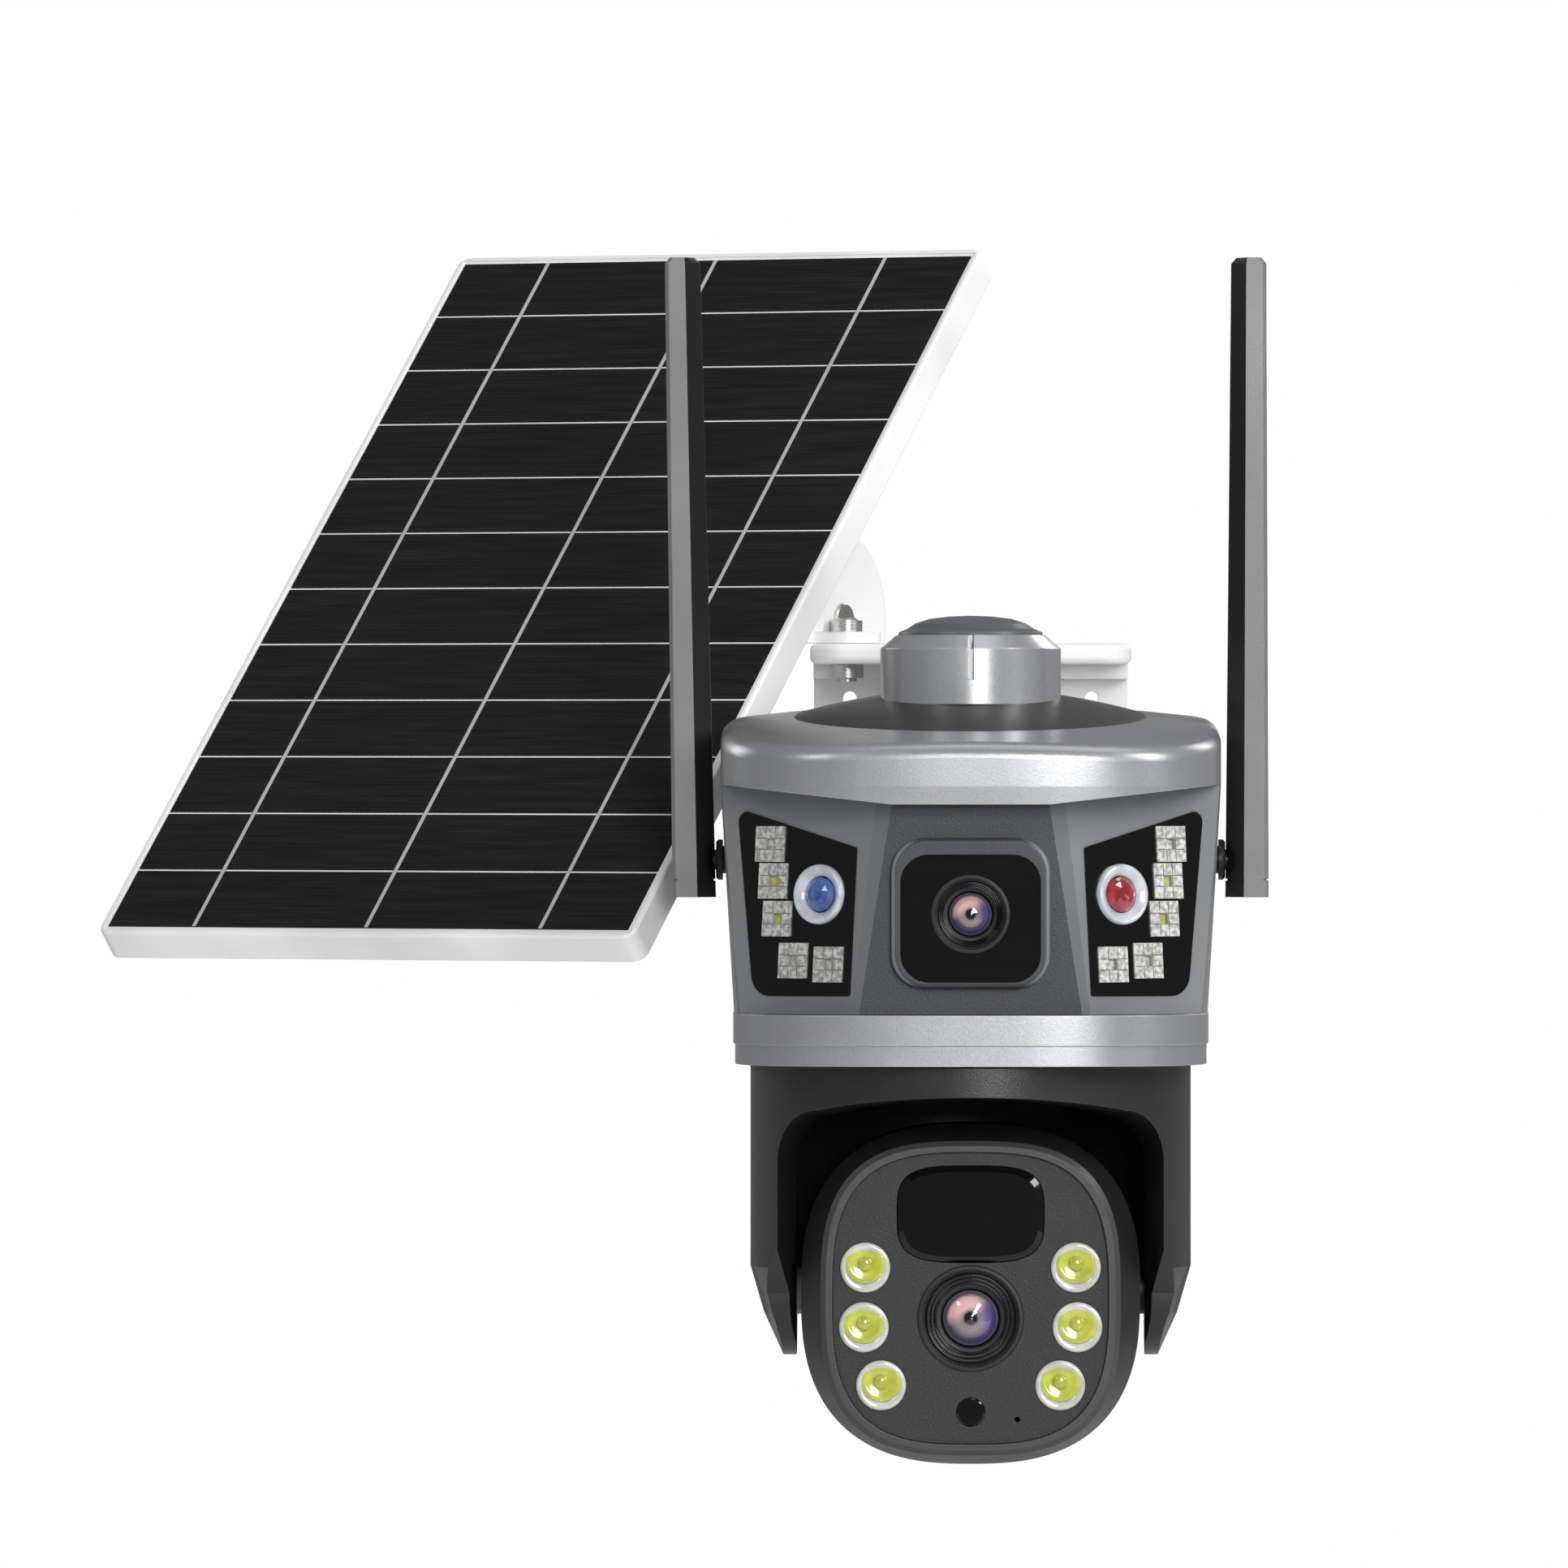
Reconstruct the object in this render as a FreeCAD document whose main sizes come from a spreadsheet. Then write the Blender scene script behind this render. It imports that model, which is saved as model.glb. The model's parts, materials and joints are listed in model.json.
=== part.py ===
import FreeCAD, Part
import Sketcher
import math
import os

from FreeCAD import Placement, Rotation, Vector

# Solar-powered pan and tilt security camera on a plate bracket.
# Frame: origin at the centre of the bracket plate's back face, +Z up, the camera looks along -Y.
# Lengths are millimetres and angles are degrees.

DIMENSIONS = {
    # bracket plate and its top flange
    "plate_width": 83,
    "plate_height": 82,
    "plate_thick": 5,
    "slot_offset": 32,
    "slot_pitch": 45,
    "slot_width": 3.6,
    "slot_long": 12,
    "flange_width": 84.4,
    "flange_depth": 44,
    "flange_thick": 5.4,
    "flange_hole_offset": 32.6,
    "flange_hole_reach": 30,
    "flange_hole_radius": 2.75,
    "root_drop": 3.9,
    "root_depth": 20,
    # arm and neck
    "pan_reach": 134,
    "arm_half_width": 13,
    "arm_low": 29.5,
    "arm_high": 40.5,
    "foot_half_width": 22.5,
    "foot_thick": 4,
    "foot_low": -10,
    "foot_high": 31.4,
    "collar_radius": 23.2,
    "collar_low": 24.8,
    "collar_high": 42.6,
    "spigot_radius": 12,
    "spigot_low": 13,
    "cable_hole_radius": 6,
    "cap_socket_radius": 17,
    "cap_socket_low": 38,
    # upper housing
    "visor_half_width": 64,
    "visor_half_depth": 62,
    "skirt_half_width": 60.6,
    "skirt_half_depth": 58.8,
    "visor_level": 4,
    "visor_low_mid": -0.6,
    "visor_low_side": 4.4,
    "housing_low": -54,
    "housing_wall": 3,
    "roof_radius": 500,
    "roof_shift": 40,
    "roof_top": 25.2,
    "dome_radius": 160,
    "dome_shift": 14,
    "dome_top": 29,
    "dome_rim_radius": 45,
    # three-facet face
    "face_reach": 52,
    "face_thick": 3,
    "facet_top_half": 20,
    "facet_low_half": 28.3,
    "strip_top": 4,
    "strip_low": 2,
    "strip_angle": 18,
    "wing_angle": 36,
    "rim_half_width": 20.1,
    "rim_half_height": 19.05,
    "rim_level": -28.15,
    "rim_height": 3.6,
    "window_half_width": 17.8,
    "window_half_height": 16.2,
    "window_level": -29.5,
    "window_corner": 7.2,
    "lens_level": -28.4,
    "lens_hole_radius": 10.1,
    # lamps on the wings
    "tile_side": 9,
    "beacon_radius": 7.8,
    # base ring, pan drive
    "ring_half_width": 60.8,
    "ring_half_depth": 59,
    "ring_low": -67,
    "ring_ledge": -61.8,
    "hub_hole_radius": 20.06,
    "hub_radius": 20,
    "hub_neck_radius": 15,
    "gear_low": -63.9,
    "gear_high": -60,
    "pan_centres": 29,
    # yoke
    "yoke_radius": 56.5,
    "yoke_top": -67.4,
    "yoke_taper": -119,
    "yoke_gap_half": 44.6,
    "yoke_gap_top": -76.5,
    "yoke_gap_shoulder": -79.6,
    "yoke_back_inner": 50.5,
    "yoke_back_low": -128,
    "tilt_level": -125.6,
    "arm_end_radius": 16.4,
    # tilting head
    "head_half_width": 43.3,
    "head_half_height": 43.4,
    "head_wall": 3,
    "head_straight": 24,
    "head_front": 34,
    "bezel_half_width": 38.2,
    "bezel_half_height": 40,
    "bezel_drop": 0.7,
    "bezel_lip": 3,
    "face_half_width": 35.2,
    "face_half_height": 37.2,
    "pin_radius": 6,
    "tilt_centres": 16.2,
    # antennas
    "antenna_level": -15,
    "antenna_low": -24.6,
    "antenna_high": 139.4,
    "stub_radius": 5.2,
    "stub_end": 65.3,
    "antenna_pin_radius": 2.6,
    # solar panel and its hinge
    "panel_yaw": 28.6,
    "panel_tilt": 46,
    "hinge_x": -36,
    "hinge_y": -20.5,
    "hinge_z": 46.8,
    "cheek_radius": 23.5,
    "cheek_half_thick": 2.5,
    "hinge_bolt_radius": 3,
    "panel_x": -70.2,
    "panel_z": -16.3,
    "panel_width": 161.6,
    "panel_height": 261.8,
    "panel_thick": 9,
    "panel_front": -28.6,
    "cell_width": 156.6,
    "cell_height": 20.6,
    "cell_pitch": 21.4,
    "cell_count": 12,
}

GEAR_MODULE = 0.8
CURVE_POINTS = 32
HOUSING_POWER = 3.5
HEAD_POWER = 2.6
BEZEL_POWER = 3.0
WINDOW_POWER = 3.6
TURN = {
    "Z": Rotation(),
    "-Z": Rotation(Vector(1, 0, 0), 180),
    "Y": Rotation(Vector(1, 0, 0), -90),
    "-Y": Rotation(Vector(1, 0, 0), 90),
    "X": Rotation(Vector(0, 1, 0), 90),
    "-X": Rotation(Vector(0, 1, 0), -90),
}


class Size:
    """A length that carries both its number and the sheet expression it comes from."""

    def __init__(self, value, text):
        self.value = float(value)
        self.text = text

    def __add__(self, other):
        return Size(self.value + number(other), "(%s + %s)" % (self.text, expression(other)))

    __radd__ = __add__

    def __sub__(self, other):
        return Size(self.value - number(other), "(%s - %s)" % (self.text, expression(other)))

    def __rsub__(self, other):
        return Size(number(other) - self.value, "(%s - %s)" % (expression(other), self.text))

    def __mul__(self, other):
        return Size(self.value * number(other), "(%s * %s)" % (self.text, expression(other)))

    __rmul__ = __mul__

    def __truediv__(self, other):
        return Size(self.value / number(other), "(%s / %s)" % (self.text, expression(other)))

    def __neg__(self):
        return Size(-self.value, "(0 - %s)" % self.text)

    def __float__(self):
        return self.value


class Cells:
    """Gives a driving dimension by its alias in the sheet."""

    def __getattr__(self, alias):
        return Size(DIMENSIONS[alias], "dims." + alias)


def number(size):
    return size.value if isinstance(size, Size) else float(size)


def expression(size):
    return size.text if isinstance(size, Size) else "(%r)" % float(size)


cell = Cells()
doc = FreeCAD.newDocument("solar_camera")
sub_parts = {}


def fill_sheet():
    sheet = doc.addObject("Spreadsheet::Sheet", "dims")
    for row, (alias, value) in enumerate(DIMENSIONS.items(), 1):
        sheet.set("A%d" % row, alias)
        sheet.set("B%d" % row, str(value))
        sheet.setAlias("B%d" % row, alias)
    doc.recompute()


# ---- building blocks -------------------------------------------------------------------------


def bind(obj, name, size):
    """Sets a property and, where the size comes from the sheet, binds it to its cells."""
    if isinstance(size, Size):
        obj.setExpression(name, size.text)
    else:
        setattr(obj, name, float(size))


def place(obj, x=0, y=0, z=0, turn=TURN["Z"]):
    obj.Placement = Placement(Vector(number(x), number(y), number(z)), turn)
    for axis, size in zip("xyz", (x, y, z)):
        if isinstance(size, Size):
            obj.setExpression("Placement.Base." + axis, size.text)
    return obj


def box(name, x, y, z):
    """A box between a low and a high value on each axis."""
    obj = doc.addObject("Part::Box", name)
    for side, (low, high) in (("Length", x), ("Width", y), ("Height", z)):
        bind(obj, side, high - low)
    return place(obj, x[0], y[0], z[0])


def cylinder(name, radius, x, y, z, length, axis="Z"):
    """A cylinder that starts at a point and runs along an axis."""
    obj = doc.addObject("Part::Cylinder", name)
    bind(obj, "Radius", radius)
    bind(obj, "Height", length)
    return place(obj, x, y, z, TURN[axis])


def sphere(name, radius, x, y, z):
    obj = doc.addObject("Part::Sphere", name)
    bind(obj, "Radius", radius)
    return place(obj, x, y, z)


def shape_object(name, shape, placement=None):
    """A sub-part or a tool whose shape is worked out with Part's own functions."""
    obj = doc.addObject("Part::Feature", name)
    obj.Shape = shape
    if placement is not None:
        obj.Placement = placement
    return obj


def fuse(name, *shapes):
    obj = doc.addObject("Part::MultiFuse", name)
    obj.Shapes = list(shapes)
    return obj


def group(name, shapes):
    """Separate solids that share one node."""
    obj = doc.addObject("Part::Compound", name)
    obj.Links = list(shapes)
    return obj


def common(name, first, second):
    obj = doc.addObject("Part::MultiCommon", name)
    obj.Shapes = [first, second]
    return obj


def cut(name, base, *tools):
    obj = doc.addObject("Part::Cut", name)
    obj.Base = base
    obj.Tool = tools[0] if len(tools) == 1 else fuse(name + "_tools", *tools)
    return obj


def mirrored(name, source):
    """The same piece on the other side of the camera's middle plane."""
    obj = doc.addObject("Part::Mirroring", name)
    obj.Source = source
    obj.Base = Vector(0, 0, 0)
    obj.Normal = Vector(1, 0, 0)
    return obj


def rounded(name, base, radius, chosen):
    """Rounds the edges of base that the test chooses."""
    doc.recompute()
    obj = doc.addObject("Part::Fillet", name)
    obj.Base = base
    obj.Edges = [(i, radius, radius) for i, e in enumerate(base.Shape.Edges, 1) if chosen(e)]
    return obj


def spans(edge):
    bounds = edge.BoundBox
    return bounds.XLength, bounds.YLength, bounds.ZLength


def runs_along(axis):
    """True for straight edges that run along one axis."""
    index = "XYZ".index(axis)

    def test(edge):
        lengths = spans(edge)
        return lengths[index] > 1 and sum(lengths) - lengths[index] < 0.01

    return test


def node(label, obj):
    """Makes obj a sub-part: its label names its file."""
    obj.Label = label
    sub_parts[label] = obj
    return obj


def new_body(name, x=0, y=0, z=0, turn=TURN["Z"]):
    return place(doc.addObject("PartDesign::Body", name), x, y, z, turn)


def origin_item(body, role):
    return next(item for item in body.Origin.OriginFeatures if item.Role == role)


def new_sketch(body, plane):
    sketch = body.newObject("Sketcher::SketchObject", body.Name + "_sketch")
    sketch.AttachmentSupport = [(origin_item(body, plane), "")]
    sketch.MapMode = "FlatFace"
    return sketch


def pin_point(sketch, geometry, point, x, y):
    """Holds one sketch point at a distance from the sketch's origin, bound to the sheet."""
    for kind, axis, size in (("DistanceX", -2, x), ("DistanceY", -1, y)):
        if abs(number(size)) < 1e-9:
            sketch.addConstraint(Sketcher.Constraint("PointOnObject", geometry, point, axis))
            continue
        where = sketch.addConstraint(Sketcher.Constraint(kind, -1, 1, geometry, point, number(size)))
        if isinstance(size, Size):
            sketch.setExpression("Constraints[%d]" % where, size.text)


def draw_polygon(sketch, points):
    corners = [Vector(number(x), number(y), 0) for x, y in points]
    for start, end in zip(corners, corners[1:] + corners[:1]):
        sketch.addGeometry(Part.LineSegment(start, end), False)
    count = len(points)
    for i in range(count):
        sketch.addConstraint(Sketcher.Constraint("Coincident", i, 2, (i + 1) % count, 1))
    for i, (x, y) in enumerate(points):
        pin_point(sketch, i, 1, x, y)


def draw_circle(sketch, x, y, radius):
    centre = Vector(number(x), number(y), 0)
    index = sketch.addGeometry(Part.Circle(centre, Vector(0, 0, 1), number(radius)), False)
    where = sketch.addConstraint(Sketcher.Constraint("Radius", index, number(radius)))
    if isinstance(radius, Size):
        sketch.setExpression("Constraints[%d]" % where, radius.text)
    if abs(number(x)) < 1e-9 and abs(number(y)) < 1e-9:
        sketch.addConstraint(Sketcher.Constraint("Coincident", index, 3, -1, 1))
    else:
        pin_point(sketch, index, 3, x, y)


def pad(body, sketch, length):
    feature = body.newObject("PartDesign::Pad", body.Name + "_pad")
    feature.Profile = sketch
    bind(feature, "Length", length)
    body.Tip = feature
    doc.recompute()
    return feature


def pocket(body, sketch):
    """Cuts a sketch on the body's base plane up through the whole body."""
    before = body.Shape.Volume
    feature = body.newObject("PartDesign::Pocket", body.Name + "_pocket")
    feature.Profile = sketch
    feature.Type = "ThroughAll"
    feature.Reversed = True
    body.Tip = feature
    doc.recompute()
    if body.Shape.Volume >= before:
        raise RuntimeError("a pocket in %s cuts nothing" % body.Name)
    return feature


def round_body(body, radius, chosen):
    """Rounds the edges of the body's last feature that the test chooses."""
    base = body.Tip
    names = ["Edge%d" % i for i, e in enumerate(base.Shape.Edges, 1) if chosen(e)]
    feature = body.newObject("PartDesign::Fillet", body.Name + "_fillet")
    feature.Base = (base, names)
    bind(feature, "Radius", radius)
    body.Tip = feature
    doc.recompute()
    return body


def plate(name, half_x, half_y, thick, corner, holes=(), x=0, y=0, z=0, turn=TURN["Z"], middle=(0, 0)):
    """A rounded rectangular plate in its own XY plane, with round holes through it."""
    body = new_body(name, x, y, z, turn)
    sketch = new_sketch(body, "XY_Plane")
    mx, my = middle
    left, right, low, high = mx - half_x, mx + half_x, my - half_y, my + half_y
    draw_polygon(sketch, [(left, low), (right, low), (right, high), (left, high)])
    pad(body, sketch, thick)
    round_body(body, corner, runs_along("Z"))
    if holes:
        sketch = new_sketch(body, "XY_Plane")
        for hole_x, hole_y, radius in holes:
            draw_circle(sketch, hole_x, hole_y, radius)
        pocket(body, sketch)
    return body


def turned(name, profile, x=0, y=0, z=0, turn=TURN["Z"]):
    """A body turned about its own Z axis from (radius, height) points."""
    body = new_body(name, x, y, z, turn)
    sketch = new_sketch(body, "XZ_Plane")
    draw_polygon(sketch, profile)
    feature = body.newObject("PartDesign::Revolution", name + "_revolution")
    feature.Profile = sketch
    feature.ReferenceAxis = (sketch, ["V_Axis"])
    feature.Angle = 360
    body.Tip = feature
    doc.recompute()
    return body


def toothed_wheel(name, teeth, width, hub, hub_length, bore, x, y, z, turn):
    """A spur gear with straight-sided teeth and a round hub under it, about its own Z axis."""
    pitch = GEAR_MODULE * teeth / 2
    root = pitch - 1.05 * GEAR_MODULE
    tip = pitch + 0.72 * GEAR_MODULE
    foot_half = 0.72 * GEAR_MODULE
    tip_half = 0.34 * GEAR_MODULE
    body = new_body(name, x, y, z, turn)
    sketch = new_sketch(body, "XY_Plane")
    draw_circle(sketch, 0, 0, root)
    pad(body, sketch, width)
    if hub_length:
        sketch = new_sketch(body, "XY_Plane")
        draw_circle(sketch, 0, 0, hub)
        pad(body, sketch, hub_length)
    sketch = new_sketch(body, "XY_Plane")
    inner = root - 0.3
    draw_polygon(sketch, [(inner, -foot_half), (tip, -tip_half), (tip, tip_half), (inner, foot_half)])
    tooth = pad(body, sketch, width)
    pattern = body.newObject("PartDesign::PolarPattern", name + "_teeth")
    pattern.Originals = [tooth]
    pattern.Axis = (origin_item(body, "Z_Axis"), [""])
    pattern.Angle = 360
    pattern.Occurrences = teeth
    body.Tip = pattern
    doc.recompute()
    if number(bore) > 0:
        sketch = new_sketch(body, "XY_Plane")
        draw_circle(sketch, 0, 0, bore)
        pocket(body, sketch)
    return body


def power_curve(half_x, half_y, power, lift):
    """A closed rounded-square curve |x/a|^p + |y/b|^p = 1 at one height."""
    points = []
    for step in range(CURVE_POINTS):
        angle = 2 * math.pi * step / CURVE_POINTS
        across = math.cos(angle)
        along = math.sin(angle)
        points.append(
            Vector(
                half_x * math.copysign(abs(across) ** (2 / power), across),
                half_y * math.copysign(abs(along) ** (2 / power), along),
                lift,
            )
        )
    curve = Part.BSplineCurve()
    curve.interpolate(points, PeriodicFlag=True)
    return Part.Wire(curve.toShape())


def loft(wires):
    return Part.makeLoft(wires, True, True)


def prism(points, travel):
    """A straight prism from a closed outline of 3-D points."""
    return Part.Face(Part.makePolygon(points + points[:1])).extrude(travel)


# ---- bracket, arm and neck -------------------------------------------------------------------

PAN_Y = -cell.pan_reach
PLATE_TOP = cell.plate_height / 2
FLANGE_LOW = PLATE_TOP - cell.flange_thick


def bracket_slots():
    slots = []
    half = cell.slot_width / 2
    straight = (cell.slot_long - cell.slot_width) / 2
    for side in (-1, 1):
        for level in (-0.5, 0.5):
            x = cell.slot_offset * side
            z = cell.slot_pitch * level
            tag = "slot_%d_%d" % (side > 0, level > 0)
            slots.append(box(tag, (x - half, x + half), (-10, 1), (z - straight, z + straight)))
            slots.append(cylinder(tag + "_low", half, x, -10, z - straight, 11, "Y"))
            slots.append(cylinder(tag + "_high", half, x, -10, z + straight, 11, "Y"))
    return slots


def make_wall_bracket():
    half = cell.plate_width / 2
    upright = box("bracket_plate", (-half, half), (-cell.plate_thick, 0), (-PLATE_TOP, PLATE_TOP))
    upright = rounded("bracket_plate_round", upright, 4, runs_along("Y"))
    wide = cell.flange_width / 2
    flange = box("bracket_flange", (-wide, wide), (-cell.flange_depth, 0), (FLANGE_LOW, PLATE_TOP))
    front = -number(cell.flange_depth) + 0.1
    flange = rounded(
        "bracket_flange_corners",
        flange,
        8,
        lambda e: runs_along("Z")(e) and e.BoundBox.YMax < front,
    )
    flange = rounded(
        "bracket_flange_round", flange, 1.8, lambda e: spans(e)[2] < 0.01 and e.BoundBox.YMin < -0.1
    )
    root = box(
        "bracket_root", (-half, half), (-cell.root_depth, -1), (FLANGE_LOW - cell.root_drop, FLANGE_LOW + 1)
    )
    holes = [
        cylinder(
            "flange_hole_%d" % (side > 0),
            cell.flange_hole_radius,
            cell.flange_hole_offset * side,
            -cell.flange_hole_reach,
            FLANGE_LOW - 2,
            12,
        )
        for side in (-1, 1)
    ]
    holes += [
        cylinder("foot_hole_%d" % i, 2, x, -8, z, 9, "Y") for i, (x, z) in enumerate(foot_screw_places())
    ]
    whole = fuse("bracket_whole", upright, flange, root)
    node("wall_bracket", cut("bracket_cut", whole, *(bracket_slots() + holes)))


def foot_screw_places():
    return [(side * 17.5, level) for side in (-1, 1) for level in (-3, 20)]


def make_arm():
    half = number(cell.arm_half_width)
    low, high = number(cell.arm_low), number(cell.arm_high)
    reach = number(PAN_Y)
    side = [
        (-5, -8), (-5, 31), (-45.5, 31), (-45.5, high), (reach + 15, high), (reach + 15, low),
        (-72, low), (-44, 19), (-14, -8),
    ]
    web = shape_object("arm_web", prism([Vector(-half, y, z) for y, z in side], Vector(2 * half, 0, 0)))
    web = rounded("arm_web_round", web, 2.5, lambda e: spans(e)[0] < 0.01 and e.BoundBox.YMin < -14.1
                  and e.BoundBox.YMax < -40 and e.BoundBox.YMin > reach + 14)
    foot = box(
        "arm_foot",
        (-cell.foot_half_width, cell.foot_half_width),
        (-cell.plate_thick - cell.foot_thick, -cell.plate_thick),
        (cell.foot_low, cell.foot_high),
    )
    foot = rounded("arm_foot_round", foot, 3, runs_along("Y"))
    shoulder = cell.collar_high - 3.5
    collar = turned(
        "collar",
        [
            (0, cell.collar_low),
            (cell.collar_radius, cell.collar_low),
            (cell.collar_radius, shoulder),
            (cell.collar_radius - 4, cell.collar_high),
            (0, cell.collar_high),
        ],
        y=PAN_Y,
    )
    spigot = cylinder(
        "spigot", cell.spigot_radius, 0, PAN_Y, cell.spigot_low, cell.collar_low - cell.spigot_low + 1
    )
    bore = cylinder("cable_bore", cell.cable_hole_radius, 0, PAN_Y, cell.spigot_low - 1, 40)
    socket = cylinder("cap_socket", cell.cap_socket_radius, 0, PAN_Y, cell.cap_socket_low, 10)
    rim = PAN_Y - cell.collar_radius
    grooves = [
        box("index_groove", (-0.75, 0.75), (rim - 1, rim + 1.3), (cell.collar_high - 11.5, shoulder)),
        box("index_groove_top", (-0.75, 0.75), (rim - 1, rim + 5), (shoulder, cell.collar_high + 1)),
    ]
    holes = [
        cylinder("arm_hole_%d" % i, 2, x, -12, z, 9, "Y")
        for i, (x, z) in enumerate(foot_screw_places())
    ]
    whole = fuse("arm_whole", web, foot, collar, spigot)
    node("bracket_arm", cut("arm_cut", whole, bore, socket, *grooves, *holes))


def screw(name, x, y, z, turn, head, shank, head_high, length):
    """A pan-head screw whose head sits on a surface and whose shank goes in along local -Z."""
    return turned(
        name,
        [(0, -length), (shank, -length), (shank, 0), (head, 0), (head, head_high * 0.6),
         (head * 0.7, head_high), (head * 0.3, head_high), (0, head_high * 0.55)],
        x, y, z, turn,
    )


def make_arm_screws():
    face = -cell.plate_thick - cell.foot_thick
    screws = [
        screw("arm_screw_%d" % i, x, face, z, TURN["-Y"], 3.6, 1.95, 2.4, 8.5)
        for i, (x, z) in enumerate(foot_screw_places())
    ]
    node("arm_screws", group("arm_screw_group", screws))


def make_neck_cap():
    top = cell.collar_high
    node(
        "neck_cap",
        turned(
            "neck_cap_body",
            [
                (0, cell.cap_socket_low + 1), (16.9, cell.cap_socket_low + 1), (16.9, top), (18.6, top),
                (18.4, top + 0.8), (16.4, top + 1.6), (14.2, top + 3), (10.5, top + 4.2), (5.5, top + 4.8),
                (0, top + 5),
            ],
            y=PAN_Y,
        ),
    )


# ---- upper housing ---------------------------------------------------------------------------


# the cable gland's seat under the boss at the housing's back
GLAND_PLACE = (43, -67, -48)


def housing_halves(level):
    """Half width and half depth of the housing at one height."""
    low, high = number(cell.housing_low), number(cell.visor_level)
    part = min(1.0, max(0.0, (level - low) / (high - low)))
    wide = number(cell.skirt_half_width) + part * number(cell.visor_half_width - cell.skirt_half_width)
    deep = number(cell.skirt_half_depth) + part * number(cell.visor_half_depth - cell.skirt_half_depth)
    return wide, deep


def housing_block(inset, low, high):
    """The housing's outer body, drawn in by inset, between two heights."""
    levels = [low, number(cell.visor_level), high]
    wires = []
    for level in levels:
        wide, deep = housing_halves(level)
        wires.append(power_curve(wide - inset, deep - inset, HOUSING_POWER, level))
    block = loft(wires)
    block.translate(Vector(0, number(PAN_Y), 0))
    return block


def roof_ball(drop):
    """The shallow ball that shapes the housing's forward-leaning roof."""
    radius = number(cell.roof_radius)
    centre = Vector(0, number(PAN_Y + cell.roof_shift), number(cell.roof_top) - radius)
    return Part.makeSphere(radius - drop, centre)


def facet_outline(level, push):
    """Plan outline of the space in front of the three-facet face at one height."""
    top, low = number(cell.visor_low_mid), number(cell.housing_low)
    part = (top - level) / (top - low)
    middle = number(cell.facet_top_half) + part * number(cell.facet_low_half - cell.facet_top_half)
    strip = number(cell.strip_top) + part * number(cell.strip_low - cell.strip_top)
    front = number(PAN_Y - cell.face_reach) + push
    knee_x = middle + strip
    knee_y = front + strip * math.tan(math.radians(number(cell.strip_angle)))
    far_x = 80.0
    far_y = knee_y + (far_x - knee_x) * math.tan(math.radians(number(cell.wing_angle)))
    half = [(middle, front), (knee_x, knee_y), (far_x, far_y), (far_x, front - 60)]
    right = [Vector(x, y, level) for x, y in half]
    left = [Vector(-x, y, level) for x, y in reversed(half)]
    return Part.makePolygon(right + left + right[:1])


def facet_block(push, low, high):
    return loft([facet_outline(low, push), facet_outline(high, push)])


def under_visor(rise):
    """Everything below the visor's dipping lower edge, raised by rise."""
    middle = number(cell.facet_top_half)
    mid_z = number(cell.visor_low_mid) + rise
    side_z = number(cell.visor_low_side) + rise
    reach = number(cell.visor_half_width)
    slope = (side_z - mid_z) / (reach - middle)
    far = 75.0
    far_z = mid_z + slope * (far - middle)
    points = [(-far, far_z), (-middle, mid_z), (middle, mid_z), (far, far_z), (far, -90), (-far, -90)]
    start = number(PAN_Y) - 120
    return prism([Vector(x, start, z) for x, z in points], Vector(0, 130, 0))


def wing_point(x, z):
    """The point of the right wing facet at one place in the front view."""
    top, low = number(cell.visor_low_mid), number(cell.housing_low)
    part = (top - z) / (top - low)
    middle = number(cell.facet_top_half) + part * number(cell.facet_low_half - cell.facet_top_half)
    strip = number(cell.strip_top) + part * number(cell.strip_low - cell.strip_top)
    knee_y = number(PAN_Y - cell.face_reach) + strip * math.tan(math.radians(number(cell.strip_angle)))
    return Vector(x, knee_y + (x - middle - strip) * math.tan(math.radians(number(cell.wing_angle))), z)


def wing_placement(x, z):
    """Local X runs outwards along the right wing, local Y up it, and local Z out of it."""
    across = (wing_point(50, -20) - wing_point(40, -20)).normalize()
    upward = wing_point(40, -10) - wing_point(40, -40)
    out = across.cross(upward).normalize()
    return Placement(wing_point(x, z), Rotation(across, out.cross(across), out, "XYZ"))


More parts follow.
